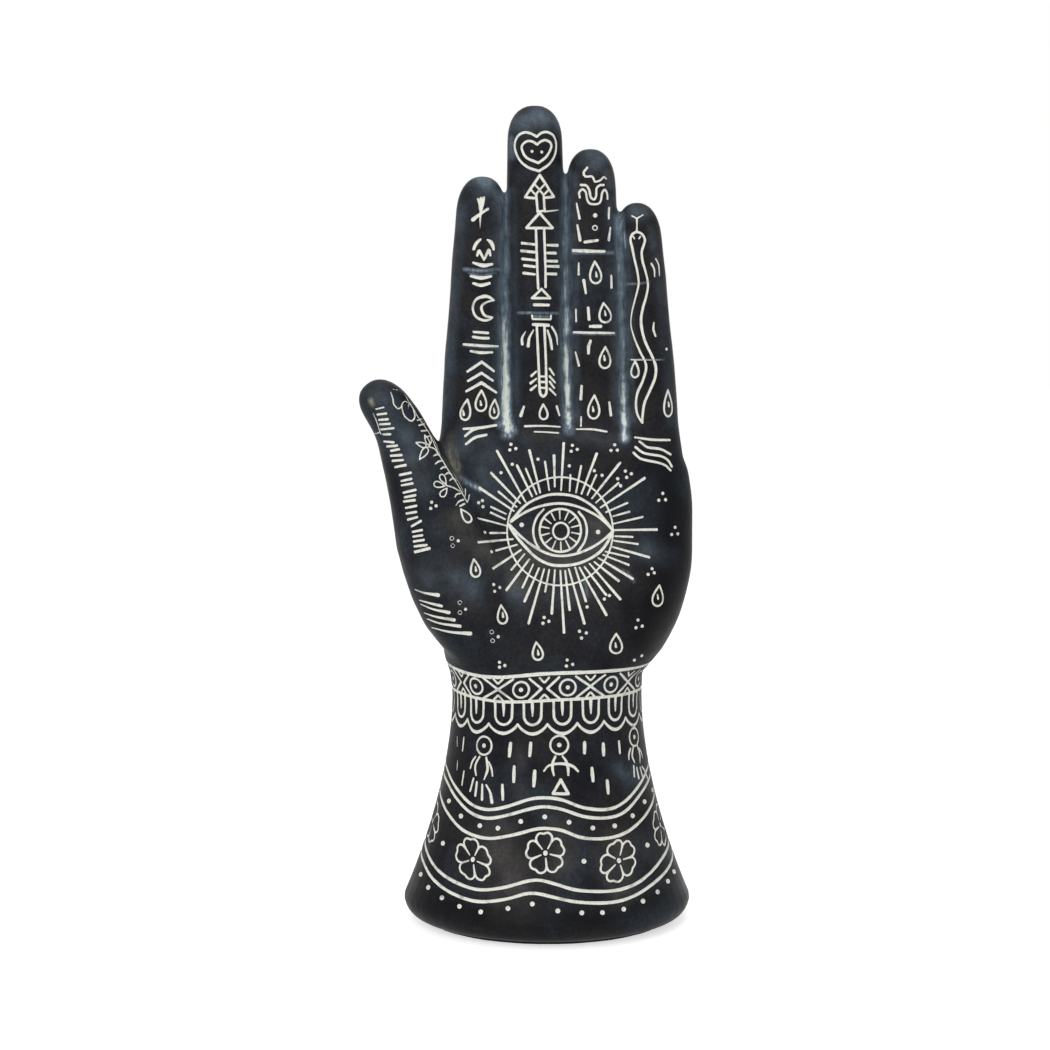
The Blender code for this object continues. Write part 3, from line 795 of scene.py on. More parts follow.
# Tip, round end and half width of each drop, with its inner mark's place
PALM_DROPS = {
    "under_vine": ((461, 509), (470.4, 521.6), 4.0, None),
    "left": ((473.9, 559.2), (476.4, 576.8), 5.0, (475.8, 569)),
    "low_left": ((501, 605.2), (503.2, 623.6), 5.0, (502.9, 615)),
    "low": ((536.1, 642.3), (538.6, 659.8), 5.4, (538, 652.6)),
    "low_right": ((616.3, 633.9), (616.1, 653.4), 6.4, (615.7, 645.4)),
    "right": ((659.7, 585.3), (657, 606), 5.6, (658, 597)),
    "index_mid": ((481.5, 390.4), (480.7, 411.0), 5.8, (480.7, 403.3)),
    "index_left": ((467.4, 399.4), (464.2, 419.8), 5.2, (463.4, 413.1)),
    "index_right": ((494.9, 399.6), (494.0, 418.2), 4.8, (494.2, 410.7)),
    "middle_low": ((543.2, 404.4), (543.8, 419.2), 4.3, None),
    "ring_one": ((594.7, 261.5), (596.1, 283.2), 6.0, (596.3, 274.5)),
    "ring_two": ((603.6, 303.0), (606.1, 322.3), 6.2, (605.3, 313.4)),
    "ring_three": ((605.5, 347.0), (604.7, 368.1), 5.9, (604.5, 358.2)),
    "ring_four": ((594.4, 395.4), (593.3, 418.5), 6.0, (593, 409.3)),
    "little_left": ((635, 361.2), (634.8, 377.3), 4.1, None),
    "little_right": ((668.1, 390.2), (668.4, 416.4), 4.4, (668.9, 404.4)),
}
PALM_DOTS = (
    ((510.9, 444.2), (509.8, 449.8), (515.7, 448.4))
    + ((572.4, 445.2), (571.2, 451.1), (577.2, 449.3))
    + ((614.7, 444.7), (611, 450.3), (617.4, 450))
    + ((625.4, 471), (626.7, 477.4), (631.4, 473.7))
    + ((662.9, 493.3), (658.9, 500.2), (665.7, 499.7))
    + ((675.3, 527.3), (671.9, 534.5), (678, 533.8))
    + ((652.2, 568.6), (648.2, 574.3), (654.4, 572.7))
    + ((638.1, 620.1), (636.1, 627.8), (642.4, 626.2))
    + ((544.1, 617.4), (543, 623.3), (548.9, 621.2))
    + ((579.5, 631.3), (586.3, 632.9), (581.5, 638))
    + ((567.2, 660), (566.4, 666), (572.8, 664.4))
    + ((499.4, 662.3), (499.4, 667.1), (504.7, 665.5))
    + ((642.1, 656), (634.6, 660.4))
    + ((478.7, 502.6), (482.4, 500.5), (483, 506.6))
    + ((493.9, 584.5), (500, 587.3), (494.9, 591.3))
    + ((538, 459), (512.2, 464.2), (501, 472.6), (569.3, 465.8), (594.3, 470.7), (602, 475.3))
    + ((617.7, 478.7), (620.6, 485.7), (609.4, 595.4), (604.3, 598.9), (587.1, 606.9))
    + ((485.1, 532.1), (491.8, 551.5), (458.3, 540.7), (465.6, 609.3), (498.2, 636.8))
    + ((431.5, 502.1), (430.7, 508.2), (436.1, 505.8))
)
BIG_DOTS = ((521.7, 524.8), (598, 531.9), (595.2, 215.3))
SMALL_DOTS = ((532, 151.3), (541.8, 152), (666.8, 349), (590.2, 326.3))
DOT_RINGS = ((451.9, 538.3), (452.7, 545.6), (459.9, 602.6), (459.9, 612.6), (491.8, 632.1), (492.7, 640.8))
BIG_DOT_RING = (595, 227.8)
# Half sizes of the dots, which a line twice as wide fills, and of the rings with their line widths
DOT_SIZE = 0.9
BIG_DOT_SIZE = 1.2
SMALL_DOT_SIZE = 0.8
RING_SIZE, RING_WIDTH = 1.9, 0.95
BIG_RING_SIZE, BIG_RING_WIDTH = 2.3, 1.4
DROP_WIDTH = 2.4
LEAF_WIDTH = 1.6
BAR_TAPER = 0.9
# The ends of a drop's inner mark from the mark's place, and its widths
MARK_ENDS = ((-0.3, -2.6), (0.3, 1.6))
MARK_WIDTHS = (1.6, 3.0)


def carve_marks(carving, outer_ends, edge, offset, width, from_shaft=False):
    """Short strokes between their outer ends and the shaft of the middle finger's arrow."""
    for px, py in outer_ends:
        ends = [(px, py), (edge + offset[0], py + offset[1])]
        carving.seen("fingers", ends[::-1] if from_shaft else ends, width)


def carve_fingers(carving):
    for lines in (INDEX_SMOOTH, MIDDLE_SMOOTH, RING_SMOOTH, RING_DASHES, THUMB_VINE):
        for pixels, width in lines.values():
            carving.seen("fingers", pixels, width)
    for pixels, width in LITTLE_SMOOTH.values():
        carving.seen("fingers", np.array(pixels) + LITTLE_SHIFT, width)
    for lines in (INDEX_STRAIGHT, MIDDLE_STRAIGHT):
        for pixels, width in lines.values():
            carving.seen("fingers", pixels, width, smooth=False)
    left, right = MIDDLE_SHAFT_EDGES
    carve_marks(carving, MIDDLE_TICKS_LEFT, left, TICK_LEFT_END, (3.4, 2.8))
    carve_marks(carving, MIDDLE_TICKS_RIGHT, right, TICK_RIGHT_END, (2.8, 3.4), from_shaft=True)
    left, right = MIDDLE_LOW_SHAFT_EDGES
    for py in MIDDLE_RUNGS:
        carving.seen("fingers", [(left, py), (right, py + RUNG_FALL)], 2.4)
    carve_marks(carving, MIDDLE_FEATHERS_LEFT, left, FEATHER_LEFT_END, (3.0, 2.2))
    carve_marks(carving, MIDDLE_FEATHERS_RIGHT, right, FEATHER_RIGHT_END, (2.2, 2.8))
    for pixels, width in MIDDLE_ROOT_DASHES.values():
        carving.seen("fingers", pixels, width)
    for left, right, width in THUMB_BARS:
        carving.seen("fingers", [left, right], (BAR_TAPER * width, width))
    for sharp, round_end, half in LEAVES.values():
        carving.seen("fingers", drop_outline(sharp, round_end, half), LEAF_WIDTH, smooth=False)


def carve_eye(carving):
    for centre, half_sizes, count, width in EYE_RINGS.values():
        carving.seen("eye", circle(centre, *half_sizes, count), width, closed=True)
    for pixels, width in EYE_LIDS.values():
        carving.seen("eye", pixels, width)
    centre = np.array(IRIS_CENTRE)
    near, far = SPOKE_REACH
    for spoke in range(SPOKES):
        way = heading(2 * math.pi * (spoke + SPOKE_START) / SPOKES)
        carving.seen("eye", [centre + near * way, centre + far * way], SPOKE_WIDTHS)
    for outer, inner in EYE_RAYS:
        long = math.dist(outer, inner) > LONG_RAY
        carving.seen("eye", [outer, inner], RAY_WIDTHS if long else SHORT_RAY_WIDTHS)


def carve_palm(carving):
    for pixels, width in PALM_SMOOTH.values():
        carving.seen("palm", pixels, width)
    for tip, end, half, mark in PALM_DROPS.values():
        carving.seen("palm", drop_outline(tip, end, half), DROP_WIDTH, smooth=False)
        if mark is not None:
            ends = [(mark[0] + right, mark[1] + down) for right, down in MARK_ENDS]
            carving.seen("palm", ends, MARK_WIDTHS)
    for places, size in ((PALM_DOTS, DOT_SIZE), (BIG_DOTS, BIG_DOT_SIZE), (SMALL_DOTS, SMALL_DOT_SIZE)):
        for place in places:
            carving.seen("palm", circle(place, size, count=8), 2 * size, closed=True)
    for place in DOT_RINGS:
        carving.seen("palm", circle(place, RING_SIZE, count=10), RING_WIDTH, closed=True)
    carving.seen("palm", circle(BIG_DOT_RING, BIG_RING_SIZE, count=10), BIG_RING_WIDTH, closed=True)


class Ring:
    """The way round the wrist at a height, so that cells can be spaced evenly along it."""

    def __init__(self, carving, height_mm):
        self.degrees = np.arange(-180, 181, 2.0)
        spots = [np.array(carving.on_ring(d, height_mm)) / MM for d in self.degrees]
        steps = np.linalg.norm(np.diff(spots, axis=0), axis=1)
        along = np.concatenate([[0.0], np.cumsum(steps)])
        self.length = along[-1]
        self.along = along - np.interp(0.0, self.degrees, along)

    def angle(self, mm):
        """Degrees from the front at that many millimetres along the ring."""
        turns = np.round(np.asarray(mm) / self.length)
        return np.interp(mm - turns * self.length, self.along, self.degrees) + 360 * turns


def near_place(degrees, place, reach):
    """1 at a place round the wrist, falling softly to 0 past its reach."""
    away = ((degrees - place + 180) % 360 - 180) / reach
    return math.exp(-(away**2))


def sagged(degrees, height, sag=BAND_SAG_MM, place=BAND_SAG_PLACE):
    """A place on the band, which hangs a little lower on the thumb's side."""
    share = min(1.0, max(0.0, (height - SCALLOP_LOW_MM + 4) / (BAND_BOTTOM_MM - SCALLOP_LOW_MM + 4)))
    low = LOW_SAG_MM * (1 - share) * near_place(degrees, LOW_SAG_PLACE, LOW_SAG_REACH)
    return degrees, height - sag * share * near_place(degrees, place, BAND_SAG_REACH) - low


def on_ring_line(ring, places_mm):
    """Degrees and heights of places on the band, given as millimetres along it and heights."""
    line = []
    for x, z in places_mm:
        folded = x - ring.length * round(x / ring.length)
        away = (folded - CELL_SHIFT_PLACE_MM) / CELL_SHIFT_REACH_MM
        moved = x - CELL_SHIFT_MM * math.exp(-(away**2))
        line.append(sagged(float(ring.angle(moved)), z))
    return line


def carve_band(carving, ring):
    """The band of eyes and crossings, and the row of loops and scallops under it."""
    top = (TOP_LINE_MM, 1.4, TOP_LINE_SAG_MM, TOP_LINE_SAG_PLACE)
    bottom = (BAND_BOTTOM_MM, 1.2, BAND_SAG_MM, BAND_SAG_PLACE)
    for height, width, sag, place in (top, bottom):
        turn = [sagged(d, height, sag, place) for d in range(0, 361, 5)]
        carving.round("band", turn, width, smooth=False)

    def carve(places_mm, width, **how):
        carving.round("band", on_ring_line(ring, places_mm), width, **how)

    cell = ring.length / BAND_CELLS
    for n in range(BAND_CELLS):
        carve_cell(carve, CELL_START_MM + cell * (n + 0.5))
        gap = CROSSING_GAP_MM if n % OPEN_CROSSINGS == 0 else 0.0
        carve_crossing(carve, CELL_START_MM + cell * n, CROSSING_SHARE * cell, gap)
    pitch = ring.length / LOOPS
    for n in range(LOOPS):
        carve_loop(carve, LOOP_START_MM + pitch * (n + 0.5), pitch)


def carve_cell(carve, across):
    """A ring with a dot in its middle."""
    centre = (across, (BAND_TOP_MM + BAND_BOTTOM_MM) / 2)
    carve(circle(centre, *CELL_RING_MM), 0.88, closed=True)
    carve(circle(centre, CELL_DOT_MM, count=8), 0.85, closed=True)


def carve_crossing(carve, across, half, gap):
    """Two bent arms back to back, with a small cup above and below them."""
    top, bottom = BAND_TOP_MM - CROSSING_INSET_MM, BAND_BOTTOM_MM + CROSSING_INSET_MM
    middle = (top + bottom) / 2
    for side in (-1, 1):
        arm = [(across + side * half, top), (across + side * gap, middle), (across + side * half, bottom)]
        carve(arm, (0.9, 1.0, 0.9), smooth=False)
    for edge, way in ((top, -1), (bottom, 1)):
        floor = edge + way * CUP_DEPTH_MM
        cup = [(across - CUP_HALF_MM, edge), (across - CUP_FLOOR_MM, floor)]
        cup += [(across + CUP_FLOOR_MM, floor), (across + CUP_HALF_MM, edge)]
        carve(cup, 0.85, smooth=False)


def carve_loop(carve, across, pitch):
    """A hanging loop with a dash in it, and the scallop under it."""
    half, deep = LOOP_HALF_MM, LOOP_DEPTH_MM
    bend = LOOP_END_MM + deep
    turn = np.linspace(0, math.pi, 9)
    arc = [(across - half * math.cos(t), bend - deep * math.sin(t)) for t in turn]
    start, end = across - half - LOOP_SPLAY_MM, across + half + LOOP_SPLAY_MM
    carve([(start, BAND_BOTTOM_MM)] + arc + [(end, BAND_BOTTOM_MM)], 1.05)
    dash = [(across - DASH_LEAN_MM, BAND_BOTTOM_MM), (across, BAND_BOTTOM_MM - DASH_DROP_MM)]
    carve(dash, (1.3, 1.2, 0.6))
    share = np.linspace(0, 1, 13)
    drop = (SCALLOP_CUSP_MM - SCALLOP_LOW_MM) * np.sin(math.pi * share) ** SCALLOP_BULGE
    carve(np.stack([across + pitch * (share - 0.5), SCALLOP_CUSP_MM - drop], axis=1), (0.9, 1.35, 0.9))


# The little figures under the band: right and up from the middle of each head, in millimetres
TASSEL = (
    ([(-3.2, -4.6), (-4.4, -6.6), (-4.9, -9.2)], (0.8, 0.95, 0.7)),
    ([(-1.4, -4.3), (-2.6, -6.9), (-2.7, -8.9), (-1.9, -11.3)], (0.8, 1.0, 1.0, 0.7)),
    ([(1.4, -4.3), (2.1, -6.6), (2.4, -8.9), (1.5, -12.5)], (0.9, 1.15, 1.1, 0.5)),
    ([(2.6, -5.8), (3.9, -8.1), (4.6, -10.8)], (0.7, 0.9, 0.6)),
    ([(-2.8, -12.7), (-3.4, -17.4)], (0.9, 0.9)),
    ([(-1.2, -13.8), (-1.0, -18.7)], (0.9, 1.1)),
    ([(1.1, -14.4), (1.8, -19.7)], (0.9, 1.1)),
    ([(2.6, -14.3), (4.4, -16.8), (5.5, -20.3)], (0.8, 1.0, 1.3)),
)
DANCER = (
    ([(-1.4, -3.9), (-2.3, -6.0), (-2.4, -8.2), (-2.0, -10.3)], (0.85, 1.0, 1.05, 0.8)),
    ([(1.1, -3.9), (2.2, -5.6), (2.8, -7.9), (2.8, -10.3)], (0.85, 1.0, 1.15, 0.9)),
    (
        [(-5.3, -8.9), (-4.2, -7.4), (-2.7, -6.7), (0, -6.4), (2.6, -6.7), (4.7, -7.6), (6.2, -9.2)],
        (0.7, 1, 1.2, 0.9),
    ),
)
DANCER_BELL = ((0.25, -11.9), (-2.4, -16.5), (2.6, -16.7))
HEAD_RING_MM = 3.15
HEAD_DOT_MM = 0.42
# Each figure's place round the wrist, the height of its head and how much of its full height it has
FIGURES = (
    (-23.5, 67.3, TASSEL, 0.93),
    (4.0, 68.8, DANCER, 1.0),
    (36.0, 68.6, TASSEL, 0.77),
    (73.0, 68.0, DANCER, 1.0),
    (97.0, 68.4, TASSEL, 0.82),
    (-74.0, 68.2, TASSEL, 0.85),
)
# Rain strokes between the figures, as top and bottom ends in the photograph's pixels
RAIN = (
    ((456.9, 736.7), (456.9, 746.6), 1.4),
    ((463.6, 737.4), (462.2, 750.8), 2.2),
    ((510.4, 743.4), (509.2, 756.2), 4.0),
    ((530.7, 743.2), (529.6, 755.8), 3.8),
    ((584.7, 742.6), (584.6, 753), 4.0),
    ((603.4, 743.8), (603.8, 754.8), 4.0),
    ((619.2, 741.4), (620.2, 753.2), 3.0),
    ((457.2, 760.6), (456.6, 770.2), 1.2),
    ((463.7, 771.2), (461.6, 785), 2.2),
    ((514.1, 766.6), (513.6, 781.6), 3.6),
    ((534.7, 771), (533.7, 786), 4.0),
    ((502.2, 785), (502.7, 799.6), 3.4),
    ((592.0, 768.2), (593.2, 780.8), 3.8),
    ((607.4, 780.8), (608.4, 793), 4.0),
)
RAIN_SWELL = (0.92, 1.12, 0.92)
# The same strokes stand on the back, this many millimetres wide for each pixel
RAIN_BEHIND = 0.35


def carve_figures(carving, ring):
    """The little figures with ringed heads, and the rain between them."""

    def carve(places_mm, width, **how):
        placed = [(float(ring.angle(x)), z) for x, z in places_mm]
        carving.round("waves", placed, width, **how)

    for across, height, strokes, share in FIGURES:
        carve(circle((across, height), HEAD_RING_MM), 0.84, closed=True)
        carve(circle((across, height), HEAD_DOT_MM, count=8), 0.85, closed=True)
        for line, width in strokes:
            carve([(across + right, height + share * up) for right, up in line], width)
        if strokes is DANCER:
            bell = [(across + right, height + up) for right, up in DANCER_BELL]
            carve(bell, 1.15, closed=True, smooth=False)
    for top, bottom, width in RAIN:
        carving.seen("waves", [top, bottom], [width * swell for swell in RAIN_SWELL])
        ends = [carving.cast(CAMERA_PLACE, sight(*end)) for end in (top, bottom)]
        if None not in ends:
            carving.behind("waves", [(end.x / MM, end.z / MM) for end in ends], RAIN_BEHIND * width)


# The waves round the foot, each as degrees from the front and heights in millimetres
WAVES = {
    "first": (
        [(-90, 57.2), (-78, 55.7), (-63, 51.1), (-49, 46.9), (-38, 45.8), (-27, 47.1), (-12, 50.2)]
        + [(-2, 50.9), (9, 50.1), (22, 47.2), (37, 45.9), (49, 47.5), (65, 52.2), (78, 55.7), (90, 57.2)]
    ),
    "second": (
        [(-90, 54.2), (-74, 51.7), (-61, 47.7), (-48, 44.0), (-37, 42.9), (-26, 44.3), (-12, 46.9)]
        + [(-2, 47.9), (9, 46.9), (22, 44.2), (36, 43.1), (48, 44.2), (63, 48.7), (76, 51.8), (90, 54.2)]
    ),
    "third": (
        [(-90, 48.0), (-80, 46.0), (-65, 41.7), (-50, 37.6), (-35, 36.3), (-21, 38.0), (-8, 40.3)]
        + [(-1, 40.7), (8, 40.0), (20, 37.2), (34, 36.4), (46, 37.3), (58, 39.9), (70, 43.0), (90, 48.0)]
    ),
    "fourth": (
        [(-90, 29.2), (-76, 26.6), (-60, 22.6), (-46, 20.3), (-34, 19.4), (-22, 20.9), (-11, 23.3)]
        + [(-4, 23.8), (4, 22.5), (15, 20.3), (32, 19.2), (44, 20.1), (54, 22.2), (70, 26.1), (90, 29.2)]
    ),
    "fifth": (
        [(-90, 25.0), (-75, 22.7), (-62, 19.4), (-48, 16.8), (-34, 15.6), (-21, 17.1), (-11, 19.3)]
        + [(-5, 19.5), (3, 18.3), (14, 16.6), (30, 15.6), (42, 16.5), (57, 19.3), (76, 22.7), (90, 25.0)]
    ),
}
WAVE_WIDTH_MM = 1.25
# Dots between the waves and below them, in the photograph's pixels
WAVE_DOTS = (
    ((437.5, 791.6), (448.6, 800.9), (460.6, 816), (479.6, 825.6), (497.8, 828.1), (520.6, 821.4))
    + ((544.7, 816.8), (569.1, 822.2), (592.9, 828), (614.9, 825.8), (632.9, 815.7), (644.9, 801.6))
    + ((653.4, 789.8), (442.6, 843.2), (584, 861.2), (647.7, 845))
    + ((420.3, 874.2), (427.9, 887.3), (441.7, 897.7), (459.2, 906.3), (480.6, 911.8), (507.8, 908.4))
    + ((532.3, 903.9), (557.8, 910.8), (581.9, 912.8), (602.5, 912.5), (623.9, 909.1), (643.2, 901.1))
    + ((658, 891.8), (668.3, 881.1), (674.5, 871.5))
)
WAVE_DOT_SIZE = (1.35, 1.3)
# Rows of beads on the back: the first one's degrees, the row's span and how many there are
BACK_BEADS = (96, 168, 13)
BACK_LOW_BEADS = (92, 176, 18)
BEAD_MM, BEAD_WIDTH_MM = 0.5, 1.1
LOW_BEAD_DROP_MM = 4.2
# Each flower's place in degrees, its height in millimetres and its turn
FLOWERS = (
    ((-82, 36.6, 14), (-40.7, 28.8, -3), (-1.4, 32.6, -5), (38.4, 28.6, -24), (78, 35.8, 12))
    + ((118, 32.6, -20), (158, 28.4, 28), (198, 30.2, 6), (238, 30.6, -28))
)
FLOWER_SIZE_MM = 7.5
FLOWER_WIDEN, FLOWER_FLATTEN = 1.07, 0.92
FLOWER_DOT_MM, FLOWER_DOT_WIDTH_MM = 0.45, 1.0
FOOT_RADIUS_MM = 43.0
FOOT_FLARE = 0.42
PETALS = 5
PETAL_VALLEY = 0.57
PETAL_BULGE = 2.8
PETAL_NOTCH = 0.08
NOTCH_REACH = 0.24
SEAM_START = 0.25


def wave_height(wave, degrees):
    """The wave's height at an angle. The back mirrors the front."""
    folded = (degrees + 180) % 360 - 180
    if abs(folded) > 90:
        folded = math.copysign(180, folded) - folded
    path = smooth_path(WAVES[wave], closed=False)
    return float(np.interp(folded, path[:, 0], path[:, 1]))


def carve_waves(carving):
    for wave in WAVES:
        line = [(d, wave_height(wave, d)) for d in range(-180, 181, 3)]
        carving.round("waves", line, WAVE_WIDTH_MM, smooth=False)
    for place in WAVE_DOTS:
        carving.seen("waves", circle(place, *WAVE_DOT_SIZE, 8), 2 * WAVE_DOT_SIZE[1], closed=True)
    for degrees in row_of(*BACK_BEADS):
        middle = (wave_height("second", degrees) + wave_height("third", degrees)) / 2
        carve_bead(carving, degrees, middle, BEAD_MM, BEAD_WIDTH_MM)
    for degrees in row_of(*BACK_LOW_BEADS):
        low = wave_height("fifth", degrees) - LOW_BEAD_DROP_MM
        carve_bead(carving, degrees, low, BEAD_MM, BEAD_WIDTH_MM)
    for flower in FLOWERS:
        carve_flower(carving, *flower)


def row_of(first, span, count):
    return [first + span * n / (count - 1) for n in range(count)]


def carve_bead(carving, degrees, height, radius, width):
    outline = circle((degrees, height), math.degrees(radius / FOOT_RADIUS_MM), radius, 8)
    carving.round("waves", outline, width, closed=True)


def carve_flower(carving, degrees, height, twist):
    """A flower of five notched petals with a dot in its middle."""
    # The foot narrows upwards, so a flower at the side leans back to look upright
    lean = FOOT_FLARE * max(-1.0, min(1.0, math.tan(math.radians(degrees))))
    half_petal = math.radians(180 / PETALS)

    def placed(reach, turn):
        right, up = FLOWER_SIZE_MM * reach * math.sin(turn), FLOWER_SIZE_MM * reach * math.cos(turn)
        sideways = math.degrees((FLOWER_WIDEN * right + lean * up) / FOOT_RADIUS_MM)
        return degrees + sideways, height + FLOWER_FLATTEN * up

    for petal in range(PETALS):
        middle = math.radians(twist + 360 / PETALS * petal)
        outline = []
        for share in np.sin(np.linspace(-math.pi / 2, math.pi / 2, 17)):
            bulge = PETAL_VALLEY + (1 - PETAL_VALLEY) * (1 - min(1.0, abs(share)) ** PETAL_BULGE) ** 0.5
            notch = PETAL_NOTCH * math.exp(-((share / NOTCH_REACH) ** 2))
            outline.append(placed(bulge - notch, middle + share * half_petal))
        carving.round("waves", outline, 0.86)
        seam = middle + half_petal
        carving.round("waves", [placed(SEAM_START, seam), placed(PETAL_VALLEY, seam)], (0.6, 0.85))
    carve_bead(carving, degrees, height, FLOWER_DOT_MM, FLOWER_DOT_WIDTH_MM)


# The back of the hand isn't in the photograph: a plain row of dashes, drops and dots continues there
BACK_FINGERS = {
    "index": ((-20.0, 246.0), (-21.5, 196.0)),
    "middle": ((-3.5, 262.0), (-4.0, 196.0)),
    "ring": ((12.5, 246.0), (13.0, 196.0)),
    "little": ((29.0, 228.0), (30.5, 196.0)),
}
BACK_ROWS = 5
# Right of a mark's place, and above and below it, in millimetres
FINGER_DROP_MM = (3.6, -3.4)
HAND_DROP_MM = (3.4, -3.2)
BACK_DROP_HALF_MM = 2.0
DASH_SIDE_MM = 3.2
DASH_HALF_MM = 2.4
DASH_SPLAY = 1.1
BACK_LINE_MM = 0.85
BACK_DASH_MM = (0.8, 1.2)
BACK_SUN = (2.0, 138.0)
BACK_SUN_RADIUS = 14.0
SUN_EYE_RADIUS = 3.6
SUN_RING_MM = 0.9
SUN_PETALS = 8
SUN_PETAL_REACH = (12.4, 4.6)
SUN_PETAL_HALF_MM = 2.5
SUN_RAYS = 24
SUN_RAY_START = 16
SUN_RAY_ENDS = (22.0, 18.6)
BACK_DOT_MM = 0.36
BACK_DOT_OFFSETS = ((-0.9, -0.9), (1.1, -0.6), (0.1, 1.1))
BACK_DOT_PLACES = ((-30, 170), (-14, 174), (4, 176), (22, 172), (36, 160), (38, 138), (34, 116), (20, 104))
BACK_DOT_PLACES += ((2, 101), (-16, 104), (-28, 116), (-34, 138))
BACK_DROP_PLACES = ((-24, 158), (28, 150), (-24, 124), (26, 124), (-6, 112), (12, 112))


def carve_back(carving):
    """Traditional marks of the kind that the front has, in plain rows."""

    def carve_drop(tip, end, half=BACK_DROP_HALF_MM):
        carving.behind("back", drop_outline(tip, end, half), BACK_LINE_MM, smooth=False)

    for (top_x, top_z), (low_x, low_z) in BACK_FINGERS.values():
        for n in range(BACK_ROWS):
            share = n / (BACK_ROWS - 1)
            x, z = top_x + (low_x - top_x) * share, top_z + (low_z - top_z) * share
            if n % 2:
                carve_drop(*((x, z + up) for up in FINGER_DROP_MM))
            else:
                for side in (-DASH_SIDE_MM, DASH_SIDE_MM):
                    dash = [(x + side, z + DASH_HALF_MM), (x + side * DASH_SPLAY, z - DASH_HALF_MM)]
                    carving.behind("back", dash, BACK_DASH_MM)
    centre = np.array(BACK_SUN, float)
    carving.behind("back", circle(BACK_SUN, BACK_SUN_RADIUS, count=32), SUN_RING_MM, closed=True)
    carving.behind("back", circle(BACK_SUN, SUN_EYE_RADIUS), SUN_RING_MM, closed=True)
    for petal in range(SUN_PETALS):
        way = heading(2 * math.pi * petal / SUN_PETALS)
        carve_drop(*(centre + reach * way for reach in SUN_PETAL_REACH), SUN_PETAL_HALF_MM)
    for ray in range(SUN_RAYS):
        way = heading(2 * math.pi * ray / SUN_RAYS)
        reach = SUN_RAY_ENDS[ray % 2]
        carving.behind("back", [centre + SUN_RAY_START * way, centre + reach * way], BACK_DASH_MM)
    for x, z in BACK_DOT_PLACES:
        for right, up in BACK_DOT_OFFSETS:
            dot = circle((x + right, z + up), BACK_DOT_MM, count=8)
            carving.behind("back", dot, 2 * BACK_DOT_MM, closed=True)
    for x, z in BACK_DROP_PLACES:
        carve_drop(*((x, z + up) for up in HAND_DROP_MM))


# Pale paint left in the grooves between the fingers and in the creases:
# pixels, width in pixels and how pale from start to end
WASHES = {
    "index_middle": (
        [(504.2, 190), (504.4, 240), (504.6, 300), (504.8, 350), (505.4, 400), (507.8, 434)],
        10.5,
        (0.75, 0.62, 0.75, 1.05, 1.25, 1.1),
    ),
    "index_middle_core": (
        [(504.4, 290), (504.8, 340), (505.4, 380), (506.2, 410), (508, 430)],
        8.4,
        (0.4, 1.2, 1.8, 2.7, 2.4),
    ),
    "index_middle_foot": ([(500, 424), (506, 423), (513, 430)], 9.0, (0.7, 1.4, 1.0)),
    "index_middle_drip": ([(508, 430), (509.4, 437)], 4.0, (1.3, 1.0)),
    "middle_ring": (
        [(565.8, 168), (566, 230), (566, 290), (566, 350), (566.8, 400), (569, 430)],
        10.5,
        (0.55, 0.60, 0.80, 1.0, 1.1, 0.9),
    ),
    "middle_ring_core": ([(565.2, 290), (565.8, 350), (567.2, 395), (568.8, 427)], 6.4, (0.7, 1.3, 2.1, 1.6)),
    "ring_little": (
        [(618.8, 216), (620, 250), (620.8, 300), (622.6, 350), (623.2, 400), (625, 438)],
        9.5,
        (0.95, 0.80, 0.70, 0.80, 1.0, 0.9),
    ),
    "ring_little_core": ([(622.8, 370), (623.4, 412), (624.8, 440)], 6.2, (0.8, 1.9, 1.5)),
    "ring_little_side": ([(624.6, 232), (625.4, 248)], 2.4, (0.8, 0.9)),
    "crotch_low": ([(461, 477.5), (468, 482.4), (480, 489.4)], 5.0, (0.4, 0.9, 1.25)),
    "index_crease_high": ([(464, 269.2), (481, 270.8), (499, 269.2)], 3.6, (1.0, 1.1, 1.0)),
    "index_crease_under": ([(468, 273), (481, 275.6), (496, 273)], 2.2, (0.6, 0.9, 0.6)),
    "index_crease_low": ([(463, 345.4), (499, 347.4)], 3.4, (0.4, 0.6, 0.5)),
    "middle_crease": ([(518, 312.6), (558.6, 313.2)], 2.6, (0.8, 1.0, 0.8)),
    "middle_frame": ([(533, 316.4), (550, 316.8)], 2.6, (0.9, 0.9)),
    "ring_crease": ([(573, 252.4), (613, 252.6)], 3.6, (0.9, 0.8)),
    "ring_crease_low": ([(573, 333.4), (615, 334.0)], 2.8, (0.9, 0.8)),
    "little_crease": ([(627, 284), (640, 283.6), (649.5, 281.8)], 2.4, (0.55, 0.6, 0.4)),
    "little_crease_low": ([(628, 359), (664, 359.6)], 2.0, (0.5, 0.5)),
    "ray_ends": ([(612, 566), (628, 574), (634, 581)], 5.0, (0.3, 0.5, 0.5)),
    "ray_ends_low": ([(584, 580), (588, 596)], 5.0, (0.4, 0.3)),
}
# Creases pressed into the skin: pixels, width in pixels and depth
CREASES = {
    "index_high": ([(464, 270.2), (481, 272.6), (499, 270.2)], 5.0, 0.00034),
    "index_low": ([(463, 345.4), (499, 347.4)], 4.0, 0.00028),
    "middle": ([(518, 312.8), (558.6, 313.4)], 4.0, 0.00030),
    "ring_high": ([(573, 253.2), (612, 253.6)], 4.4, 0.00034),
    "ring_low": ([(573, 334), (615, 334.6)], 4.0, 0.00030),
    "little_high": ([(627, 284), (640, 283.6), (650, 281.8)], 3.4, 0.00022),
}
